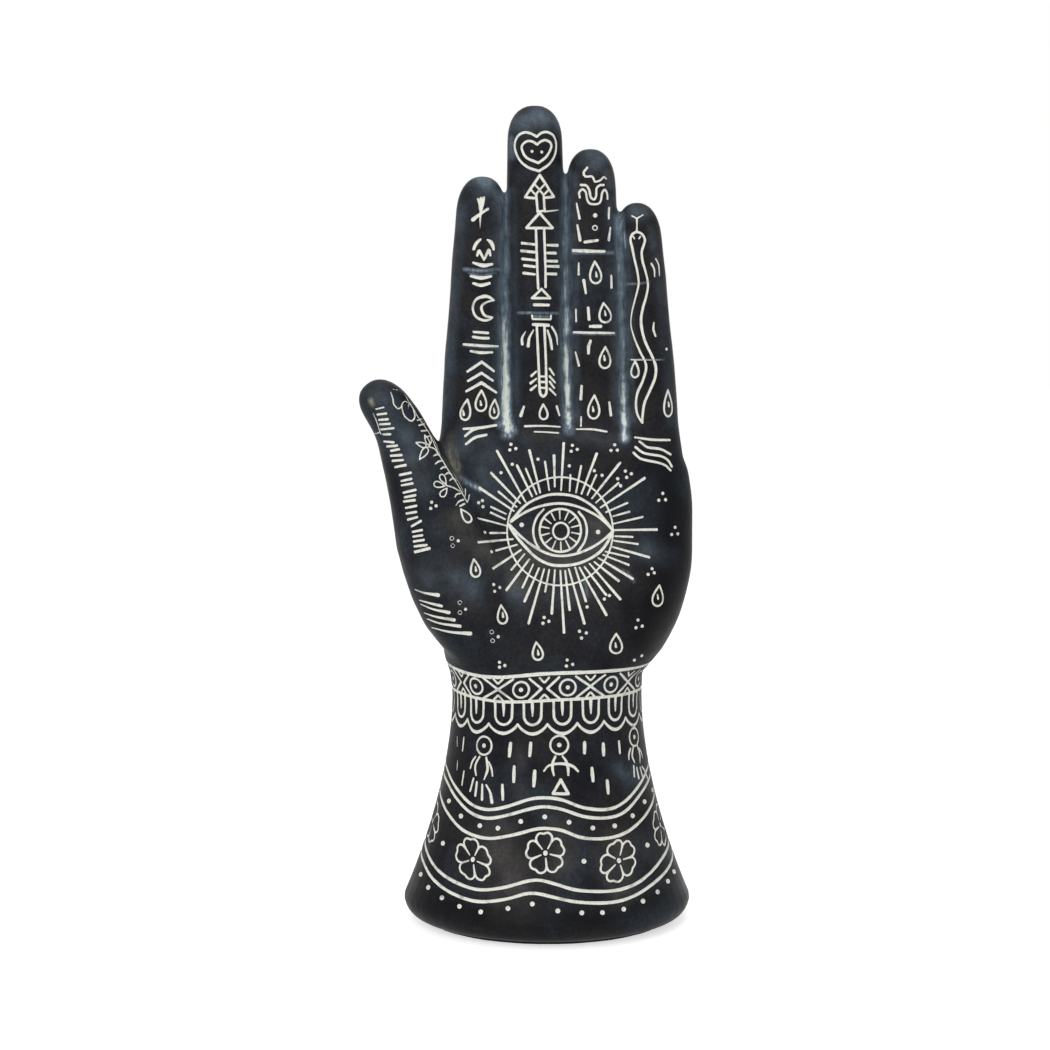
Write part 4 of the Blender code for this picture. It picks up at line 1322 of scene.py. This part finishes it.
# Blue haze, in pixels: path, width and strength. On the palm, wrist and foot it is the resin's own blue-grey
# mottling; along the sides of the fingers and thumb and on the fingertips it is painted sheen and painted
# highlights
BLUE_HAZE_AND_HIGHLIGHTS = {
    "index_left": ([(461, 205), (455, 270), (449, 350), (443, 425)], 15.0, (0.14, 0.14, 0.17, 0.22)),
    "index_right": ([(497, 205), (500, 300), (502, 420)], 15.0, 0.17),
    "middle_left": ([(512, 190), (514, 300), (517, 420)], 9.0, 0.12),
    "middle_right": ([(560, 170), (560, 300), (562, 420)], 12.0, 0.12),
    "ring_left": ([(575, 175), (575, 300), (577, 420)], 9.0, 0.15),
    "ring_right": ([(612, 200), (615, 300), (618, 420)], 12.0, 0.17),
    "little_left": ([(626, 235), (629, 300), (632, 420)], 9.0, 0.17),
    "little_right": ([(656, 240), (664, 320), (672, 420)], 12.0, 0.11),
    "thumb": ([(374, 394), (390, 415), (408, 448), (420, 482)], 34.0, (0.12, 0.18, 0.20, 0.14)),
    "upper_palm": ([(462, 446), (480, 458), (486, 480)], 36.0, 0.19),
    "under_fingers": ([(560, 434), (625, 442)], 18.0, 0.10),
    "heel_left": ([(434, 574), (470, 590)], 34.0, 0.20),
    "index_tip": ([(480, 182), (488, 184)], 20.0, 0.46),
    "index_tip_side": ([(494, 190), (499, 200)], 9.0, 0.34),
    "middle_tip": ([(522, 124), (540, 117), (552, 122)], 20.0, 0.44),
    "middle_tip_left": ([(511, 140), (512, 156)], 8.0, 0.52),
    "ring_tip": ([(586, 158), (597, 160)], 20.0, 0.34),
    "ring_tip_side": ([(607, 172), (611, 186)], 9.0, 0.22),
    "little_tip": ([(634, 210), (642, 212)], 18.0, 0.28),
    "little_side": ([(651, 228), (654, 246)], 9.0, 0.22),
    "under_eye": ([(512, 594), (524, 600)], 18.0, 0.16),
    "palm_right": ([(646, 551), (668, 556)], 20.0, 0.17),
    "palm_low": ([(566, 600), (590, 592)], 16.0, 0.06),
    "wrist_right": ([(624, 770), (634, 782)], 22.0, 0.22),
    "foot_right": ([(640, 836), (650, 858)], 20.0, 0.08),
}
# Warm grey dust rubbed over the hollow of the palm; on the front of the foot the same warm grey is a painted
# lighter patch where the light falls
DUST_AND_FOOT_LIGHT = {
    "palm_crease": ([(455, 521), (490, 556), (520, 584)], 24.0, 0.34),
    "eye": ([(530, 554), (575, 562), (612, 546)], 40.0, 0.32),
    "eye_right": ([(592, 520), (606, 536)], 26.0, 0.28),
    "under_eye": ([(540, 592), (580, 590)], 30.0, 0.09),
    "wrist": ([(519, 738), (520, 796)], 18.0, 0.14),
    "foot_left": ([(500, 840), (512, 890)], 46.0, 0.28),
    "foot_middle": ([(560, 826), (562, 862)], 34.0, 0.22),
    "foot_right": ([(612, 850), (620, 890)], 36.0, 0.26),
    "finger_roots": ([(520, 436), (600, 440)], 16.0, 0.10),
}
# Painted shade: deep black where the hand's edge, the wrist and the foot turn away from the light
SHADE = {
    "palm_right": ([(668, 470), (672, 540), (658, 606), (640, 640)], 34.0, 0.75),
    "wrist_left": ([(453, 690), (455, 740), (450, 775)], 38.0, 0.75),
    "foot_left": ([(438, 800), (422, 870)], 42.0, 0.75),
    "foot_right": ([(648, 805), (666, 870)], 30.0, 0.55),
    "foot_low": ([(410, 890), (470, 914), (540, 922), (610, 916), (668, 893)], 26.0, 0.7),
}
# Cream paint worn to streaks where the thumb leaves the hand, and on the thumb's tip
TAN = {
    "crotch": ([(450, 438), (451, 456), (458, 478)], 11.0, (0.14, 0.30, 0.20)),
    "crotch_core": ([(449, 444), (450.4, 456), (454, 468)], 3.4, (0.35, 0.5, 0.35)),
    "crotch_side": ([(456, 450), (460, 468)], 3.0, (0.3, 0.4)),
    "thumb_tip": ([(370.6, 400), (372.4, 404.6)], 4.0, 0.62),
}
# How much of each paint the back of the hand keeps
BEHIND_SHARE = {"wash": 0.5, "haze_and_highlight": 0.3, "dust_and_foot_light": 0.5, "tan": 0.0}


def pixels_of(points):
    """Where the photograph's camera sees each point, in its pixels."""
    away = points - np.array(CAMERA_PLACE)
    depth = away @ np.array(AHEAD)
    across = PHOTO_PIXELS / 2 + FOCAL_PIXELS * away[:, 0] / depth
    down = PHOTO_PIXELS / 2 - FOCAL_PIXELS * (away @ np.array(UPWARD)) / depth
    return np.stack([across, down], axis=1)


def from_path(pixels, path):
    """For each pixel its distance from a path, and how far along the path it is, from 0 to 1."""
    path = np.array(path, float)
    steps = np.linalg.norm(np.diff(path, axis=0), axis=1)
    starts = np.concatenate([[0.0], np.cumsum(steps)])
    nearest_away = np.full(len(pixels), np.inf)
    share = np.zeros(len(pixels))
    for n, (one, two) in enumerate(zip(path, path[1:])):
        part = np.clip((pixels - one) @ (two - one) / steps[n] ** 2, 0, 1)
        away = np.linalg.norm(pixels - one - part[:, None] * (two - one), axis=1)
        closer = away < nearest_away
        nearest_away[closer] = away[closer]
        share[closer] = (starts[n] + part[closer] * steps[n]) / starts[-1]
    return nearest_away, share


def painted(pixels, paths):
    """How strong the strongest of the soft paths is at each pixel."""
    most = np.zeros(len(pixels))
    for path, width, tones in paths.values():
        away, share = from_path(pixels, path)
        most = np.maximum(most, widths(tones, share) * np.exp(-((2 * away / width) ** 2)))
    return most


def creased(pixels):
    """How far the creases press each point in, and the distance to the nearest crease in pixels."""
    depth = np.zeros(len(pixels))
    nearest_away = np.full(len(pixels), np.inf)
    for path, width, deep in CREASES.values():
        away, _ = from_path(pixels, path)
        depth = np.maximum(depth, deep * np.exp(-((2 * away / width) ** 2)))
        nearest_away = np.minimum(nearest_away, away)
    return depth, nearest_away


def nearest(places, points):
    """For each point the nearest place's number and its distance."""
    tree = KDTree(len(places))
    for n, place in enumerate(places):
        tree.insert(place, n)
    tree.balance()
    found = [tree.find(point)[1:] for point in points.tolist()]
    return np.array([f[0] for f in found]), np.array([f[1] for f in found])


# Materials


class Shading:
    """A node tree that is built one node at a time."""

    def __init__(self, tree):
        self.tree = tree

    def feed(self, node, inputs):
        """Links or sets inputs, given by name or number: sockets, numbers, places and colours."""
        for name, value in inputs.items():
            socket = node.inputs[name]
            if isinstance(value, bpy.types.NodeSocket):
                self.tree.links.new(value, socket)
            else:
                socket.default_value = (*value, 1) if socket.type == "RGBA" else value

    def node(self, kind, inputs, **settings):
        node = self.tree.nodes.new("ShaderNode" + kind)
        for name, value in settings.items():
            setattr(node, name, value)
        self.feed(node, inputs)
        return node

    def noise(self, scale, detail=4.0, stretch=None, distortion=0.0):
        """Noise in the object's own metres, stretched along an axis if asked."""
        place = self.node("TexCoord", {}).outputs["Object"]
        if stretch is not None:
            place = self.node("Mapping", {"Vector": place, "Scale": stretch}).outputs["Vector"]
        inputs = {"Vector": place, "Scale": scale, "Detail": detail, "Distortion": distortion}
        return self.node("TexNoise", inputs).outputs["Fac"]

    def ramp(self, source, *stops):
        """A colour for each value of the source, from stops of place and colour."""
        node = self.node("ValToRGB", {"Fac": source})
        elements = node.color_ramp.elements
        for n, (place, colour) in enumerate(stops):
            element = elements[n] if n < 2 else elements.new(place)
            element.position = place
            element.color = (*colour, 1)
        return node.outputs["Color"]

    def greys(self, source, *stops):
        """A ramp whose stops are places and greys."""
        return self.ramp(source, *((place, (grey, grey, grey)) for place, grey in stops))

    def mix(self, factor, one, two, kind="MIX"):
        inputs = {0: factor, 6: one, 7: two}
        return self.node("Mix", inputs, data_type="RGBA", blend_type=kind).outputs[2]

    def maths(self, operation, one, two, clamp=False):
        return self.node("Math", {0: one, 1: two}, operation=operation, use_clamp=clamp).outputs[0]

    def attribute(self, name):
        return self.node("Attribute", {}, attribute_name=name).outputs["Fac"]


class Paint(Shading):
    """A material with its Principled shader."""

    def __init__(self, name, roughness, specular):
        self.material = bpy.data.materials.new(name)
        self.material.use_nodes = True
        super().__init__(self.material.node_tree)
        self.shader = self.tree.nodes["Principled BSDF"]
        self.feed(self.shader, {"Roughness": roughness, "Specular IOR Level": specular})

    def finished(self, tone, relief, depth):
        """The material, with that colour and a fine relief of that depth."""
        bump = self.node("Bump", {"Height": relief, "Distance": depth, "Strength": 1.0})
        self.feed(self.shader, {"Base Color": tone, "Normal": bump.outputs["Normal"]})
        return self.material


CHARCOAL = (0.0130, 0.0131, 0.0158)
BROWN_BLACK = (0.0168, 0.0152, 0.0160)
SLATE = (0.0185, 0.0240, 0.0305)
NAVY = (0.0052, 0.0060, 0.0088)
DEEP_BLACK = (0.0022, 0.0021, 0.0030)
PALE_BLUE = (0.145, 0.190, 0.235)
WARM_GREY = (0.105, 0.098, 0.090)
WORN_TAN = (0.30, 0.29, 0.22)
WORN_WHITE = (0.66, 0.70, 0.64)
CREAM = (0.785, 0.785, 0.715)
CREAM_SHADE = (0.59, 0.59, 0.54)
THIN_CREAM = (0.55, 0.57, 0.57)
WHITE = (1.0, 1.0, 1.0)
FELT_DARK = (0.010, 0.010, 0.012)
FELT_LIGHT = (0.034, 0.034, 0.038)
LINT = (0.10, 0.10, 0.11)


def resin_material():
    """Dark mottled resin: blue haze with painted highlights and sheen on the fingers, warm dust with a
    painted lighter patch on the foot, painted shade at the edges that turn away, and pale streaks left in its
    grooves.
    """
    paint = Paint("dark_resin", 0.42, 0.06)
    clouds = paint.noise(38, 3.0, distortion=0.6)
    tone = paint.ramp(clouds, (0.38, BROWN_BLACK), (0.50, CHARCOAL), (0.66, SLATE))
    depths = paint.greys(paint.noise(62), (0.36, 1), (0.52, 0))
    tone = paint.mix(paint.maths("MULTIPLY", depths, 0.75), tone, NAVY)
    grain = paint.greys(paint.noise(900, 3.0), (0.35, 0.75), (0.65, 1.28))
    tone = paint.mix(1.0, tone, grain, "MULTIPLY")
    # Painted shade: deep black at the edges that turn away from the light
    tone = paint.mix(paint.attribute("shade"), tone, DEEP_BLACK)
    cloudy = paint.greys(paint.noise(130, 5.0), (0.33, 0.40), (0.67, 1.6))
    speckled = paint.greys(paint.noise(1100, 3.0), (0.35, 0.80), (0.65, 1.2))
    uneven = paint.mix(1.0, cloudy, speckled, "MULTIPLY")
    # Dust and blue haze; on the fingers and the front of the foot they are painted highlights, painted sheen
    # and a painted lighter patch
    for name, colour in (("dust_and_foot_light", WARM_GREY), ("haze_and_highlight", PALE_BLUE)):
        amount = paint.maths("MULTIPLY", paint.attribute(name), uneven, clamp=True)
        tone = paint.mix(amount, tone, colour)
    streaks = paint.noise(1100, stretch=(1.0, 1.0, 0.16))
    brushed = paint.greys(streaks, (0.36, 0.66), (0.64, 1.28))
    patchy = paint.greys(paint.noise(300, 5.0), (0.34, 0.62), (0.66, 1.30))
    broken = paint.mix(1.0, brushed, patchy, "MULTIPLY")
    worn = paint.maths("MULTIPLY", paint.attribute("tan"), broken, clamp=True)
    tone = paint.mix(worn, tone, WORN_TAN)
    wash = paint.maths("MULTIPLY", paint.attribute("wash"), broken)
    tone = paint.mix(paint.greys(wash, (0.06, 0), (0.95, 1)), tone, PALE_BLUE)
    half = paint.maths("MULTIPLY", wash, 0.5)
    tone = paint.mix(paint.greys(half, (0.42, 0), (0.95, 0.95)), tone, WORN_WHITE)
    rough = paint.greys(paint.noise(110, 3.0), (0.3, 0.38), (0.7, 0.52))
    paint.feed(paint.shader, {"Roughness": rough})
    return paint.finished(tone, paint.noise(700), 0.00005)


def cream_material():
    """Cream paint rubbed into the grooves, thinner towards their edges."""
    paint = Paint("cream_wash", 0.62, 0.3)
    tone = paint.ramp(paint.attribute("heart"), (0.0, CREAM_SHADE), (0.35, CREAM))
    thin = paint.ramp(paint.noise(260), (0.30, THIN_CREAM), (0.42, WHITE))
    tone = paint.mix(0.8, tone, thin, "MULTIPLY")
    speck = paint.greys(paint.noise(1500, 2.0), (0.32, 0.80), (0.5, 1))
    tone = paint.mix(1.0, tone, speck, "MULTIPLY")
    return paint.finished(tone, paint.noise(1200, 3.0), 0.00006)


def plate_material():
    """The closing plate's own darker resin, with fine marks from its mould."""
    paint = Paint("plate_resin", 0.55, 0.3)
    tone = paint.ramp(paint.noise(90), (0.35, NAVY), (0.65, BROWN_BLACK))
    return paint.finished(tone, paint.noise(600, 3.0), 0.00004)


def felt_material():
    """Black felt with loose fibres and faint lint."""
    paint = Paint("black_felt", 0.95, 0.1)
    paint.feed(paint.shader, {"Sheen Weight": 0.35, "Sheen Roughness": 0.6})
    fibres = paint.noise(2600, 5.0, stretch=(1.0, 0.35, 1.0), distortion=1.5)
    tone = paint.ramp(fibres, (0.35, FELT_DARK), (0.68, FELT_LIGHT))
    lint = paint.greys(paint.noise(900, 2.0), (0.70, 0), (0.76, 0.5))
    return paint.finished(paint.mix(lint, tone, LINT), fibres, 0.00025)


# Building the pieces


def new_piece(name, points, tris, material, **values):
    """A smooth mesh object of the triangles, with a named value at each point."""
    used, rows = np.unique(tris, return_inverse=True)
    mesh = bpy.data.meshes.new(name)
    mesh.from_pydata(points[used].tolist(), [], rows.reshape(-1, 3).tolist())
    mesh.shade_smooth()
    for key, numbers in values.items():
        layer = mesh.attributes.new(key, "FLOAT", "POINT")
        layer.data.foreach_set("value", numbers[used].astype(np.float32))
    mesh.materials.append(material)
    return linked(name, mesh)


def carve_all(points, tris):
    carving = Carving(points, tris)
    ring = Ring(carving, (BAND_TOP_MM + BAND_BOTTOM_MM) / 2)
    low_ring = Ring(carving, HEAD_HEIGHT_MM)
    carve_fingers(carving)
    carve_eye(carving)
    carve_palm(carving)
    carve_band(carving, ring)
    carve_figures(carving, low_ring)
    carve_waves(carving)
    carve_back(carving)
    return carving


def fork_weight(points):
    """1 where the fingers leave the palm and where the thumb leaves the hand, 0 elsewhere."""
    fork = np.exp(-(((points[:, 2] - FORK_HEIGHT) / FORK_REACH) ** 2))
    away = np.linalg.norm(points - np.array(THUMB_ROOT), axis=1)
    return np.clip(fork + np.exp(-((away / THUMB_ROOT_REACH) ** 2)), 0, 1)


def build_hand():
    """The skin of the hand and of the foot, and a cream piece for each kind of carved line."""
    points, tris = even_skin(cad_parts["hand_casting"])
    points = smoothed(points, tris, SKIN_SMOOTHING)
    points = smoothed(points, tris, FORK_SMOOTHING, fork_weight(points), keep_volume=False)
    carving = carve_all(points, tris)
    halves = np.array(carving.halves)
    kinds = np.array(carving.kinds)

    def line_field(at):
        number, away = nearest(carving.places, at)
        return away - halves[number], number

    def wanted(at):
        field, _ = line_field(at)
        limit = FINE_EDGE + np.maximum(0, np.abs(field) - FINE_REACH)
        _, away = creased(pixels_of(at))
        limit = np.minimum(limit, CREASE_EDGE + np.maximum(0, away - CREASE_REACH) * CREASE_EASE)
        return np.minimum(limit, COARSE_EDGE)

    points, tris = refined(points, tris, wanted)
    field, _ = line_field(points)
    points, tris, field = cut_along(points, tris, field)
    normals = normals_of(points, tris)
    pixels = pixels_of(points)
    # Each paint's strength at each point: wash, blue haze with painted highlights, dust with a painted
    # lighter patch, painted shade, and tan
    paint = {"wash": WASHES, "haze_and_highlight": BLUE_HAZE_AND_HIGHLIGHTS, "dust_and_foot_light": DUST_AND_FOOT_LIGHT, "shade": SHADE, "tan": TAN}
    paint = {name: painted(pixels, paths) for name, paths in paint.items()}
    faces_front = np.clip(-3 * normals[:, 1], 0, 1)
    for name, kept_behind in BEHIND_SHARE.items():
        paint[name] *= kept_behind + (1 - kept_behind) * faces_front
    depth, _ = creased(pixels)
    depth += GROOVE_DEPTH * np.clip((GROOVE_LIP - field) / (GROOVE_LIP + GROOVE_WALL), 0, 1)
    heart = np.clip(-field / HEART_REACH, 0, 1)
    carved = points - normals * depth[:, None]

    inside = field[tris].sum(axis=1) < 0
    low = points[tris][:, :, 2].mean(axis=1) < BAND_TOP_MM * MM
    resin, cream = resin_material(), cream_material()
    hand = new_piece("hand_skin", carved, tris[~inside & ~low], resin, **paint)
    foot = new_piece("foot_skin", carved, tris[~inside & low], resin, **paint)
    for piece in (hand, foot):
        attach(piece, "root")
    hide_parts("hand_casting")
    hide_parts("hand_casting")
    centres = points[tris[inside]].mean(axis=1)
    kind = kinds[line_field(centres)[1]]
    for name in ("fingers", "eye", "palm", "band", "waves", "back"):
        piece = new_piece("carved_" + name, carved, tris[inside][kind == name], cream, heart=heart)
        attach(piece, "root")


def build_felt():
    """The felt under the foot, a cut oval sheet with a soft edge."""
    low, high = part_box("felt_pad")
    half = (high - low) / 2
    centre = (high + low) / 2
    rings, sides = 26, 96
    rows = []
    for level, z in ((0, low.z + 0.0001), (1, high.z - 0.0001)):
        for n in range(rings + 1):
            share = n / rings
            for s in range(sides):
                turn = 2 * math.pi * s / sides
                fray = 1 + 0.002 * math.sin(17 * turn) + 0.0015 * math.sin(41 * turn + level)
                edge = 0.0004 * max(0.0, share - 0.96) / 0.04
                x = centre.x + half.x * 0.995 * share * fray * math.cos(turn)
                y = centre.y + half.y * 0.995 * share * fray * math.sin(turn)
                rows.append((x, y, z + (edge if level == 0 else -edge)))
    faces = []
    level_size = (rings + 1) * sides
    for level in (0, 1):
        for n in range(rings):
            for s in range(sides):
                a = level * level_size + n * sides + s
                b = level * level_size + n * sides + (s + 1) % sides
                quad = (a, b, b + sides, a + sides)
                faces.append(quad if level == 0 else quad[::-1])
    for s in range(sides):
        a = rings * sides + s
        b = rings * sides + (s + 1) % sides
        faces.append((a, b, b + level_size, a + level_size))
    mesh = bpy.data.meshes.new("felt_sheet")
    mesh.from_pydata(rows, [], faces)
    mesh.shade_smooth()
    mesh.materials.append(felt_material())
    felt = linked("felt_sheet", mesh)
    weld = felt.modifiers.new("weld", "WELD")
    weld.merge_threshold = 1e-7
    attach(felt, "root")
    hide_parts("felt_pad")


def dress_plate():
    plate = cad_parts["closing_plate"]
    plate.data.materials.clear()
    plate.data.materials.append(plate_material())


# The studio

FLOOR_SIZE = 12.0
FLOOR_COLOUR = (0.86, 0.86, 0.86)
FLOOR_GLOW = 0.62
WORLD_TOP = 0.52
WORLD_SIDE = 0.34
# Each lamp's place, size and watts. All of them point at the hand's middle
LAMPS = {
    "top_softbox": ((0.05, -0.10, 1.15), 0.8, 3.4),
    "front_softbox": ((-0.25, -1.15, 0.75), 0.9, 7.2),
    "left_softbox": ((-0.95, -0.35, 0.55), 0.7, 1.0),
    "right_fill": ((0.9, -0.7, 0.5), 0.8, 0.5),
}
LAMP_TARGET = Vector((0, 0, 0.16))


def white_for_sight(shading):
    """1 for rays from the camera, and for reflected and passing rays."""
    path = shading.node("LightPath", {})
    seen = shading.maths("MAXIMUM", path.outputs["Is Camera Ray"], path.outputs["Is Glossy Ray"])
    return shading.maths("MAXIMUM", seen, path.outputs["Is Transmission Ray"])


def build_world():
    world = bpy.data.worlds.new("studio")
    world.use_nodes = True
    shading = Shading(world.node_tree)
    place = shading.node("TexCoord", {}).outputs["Generated"]
    up = shading.node("SeparateXYZ", {"Vector": place}).outputs["Z"]
    glow = shading.greys(up, (0.0, WORLD_SIDE), (0.9, WORLD_TOP))
    tone = shading.mix(white_for_sight(shading), glow, WHITE)
    shading.feed(world.node_tree.nodes["Background"], {"Color": tone})
    bpy.context.scene.world = world


def build_floor():
    half = FLOOR_SIZE / 2
    mesh = bpy.data.meshes.new("floor")
    corners = [(-half, -half, 0), (half, -half, 0), (half, half, 0), (-half, half, 0)]
    mesh.from_pydata(corners, [], [(0, 1, 2, 3)])
    paper = Paint("floor_paper", 0.9, 0.1)
    glow = paper.maths("MULTIPLY", white_for_sight(paper), FLOOR_GLOW)
    inputs = {"Base Color": FLOOR_COLOUR, "Emission Color": WHITE, "Emission Strength": glow}
    paper.feed(paper.shader, inputs)
    mesh.materials.append(paper.material)
    floor = linked("floor", mesh)


def build_lights():
    for name, (place, size, watts) in LAMPS.items():
        lamp = bpy.data.lights.new(name, "AREA")
        lamp.shape = "DISK"
        lamp.size = size
        lamp.energy = watts
        holder = linked(name, lamp)
        holder.location = place
        holder.rotation_euler = (LAMP_TARGET - Vector(place)).to_track_quat("-Z", "Y").to_euler()


def build_camera():
    data = bpy.data.cameras.new("photo_camera")
    data.lens = CAMERA_LENS_MM
    data.sensor_width = SENSOR_MM
    data.clip_start = 0.01
    data.clip_end = 50
    camera = linked("photo_camera", data)
    camera.location = CAMERA_PLACE
    camera.rotation_euler = Euler((math.pi / 2 - CAMERA_PITCH, 0, 0))
    bpy.context.scene.camera = camera


bpy.context.scene.view_settings.view_transform = "Standard"
build_hand()
build_felt()
dress_plate()
build_world()
build_floor()
build_lights()
build_camera()
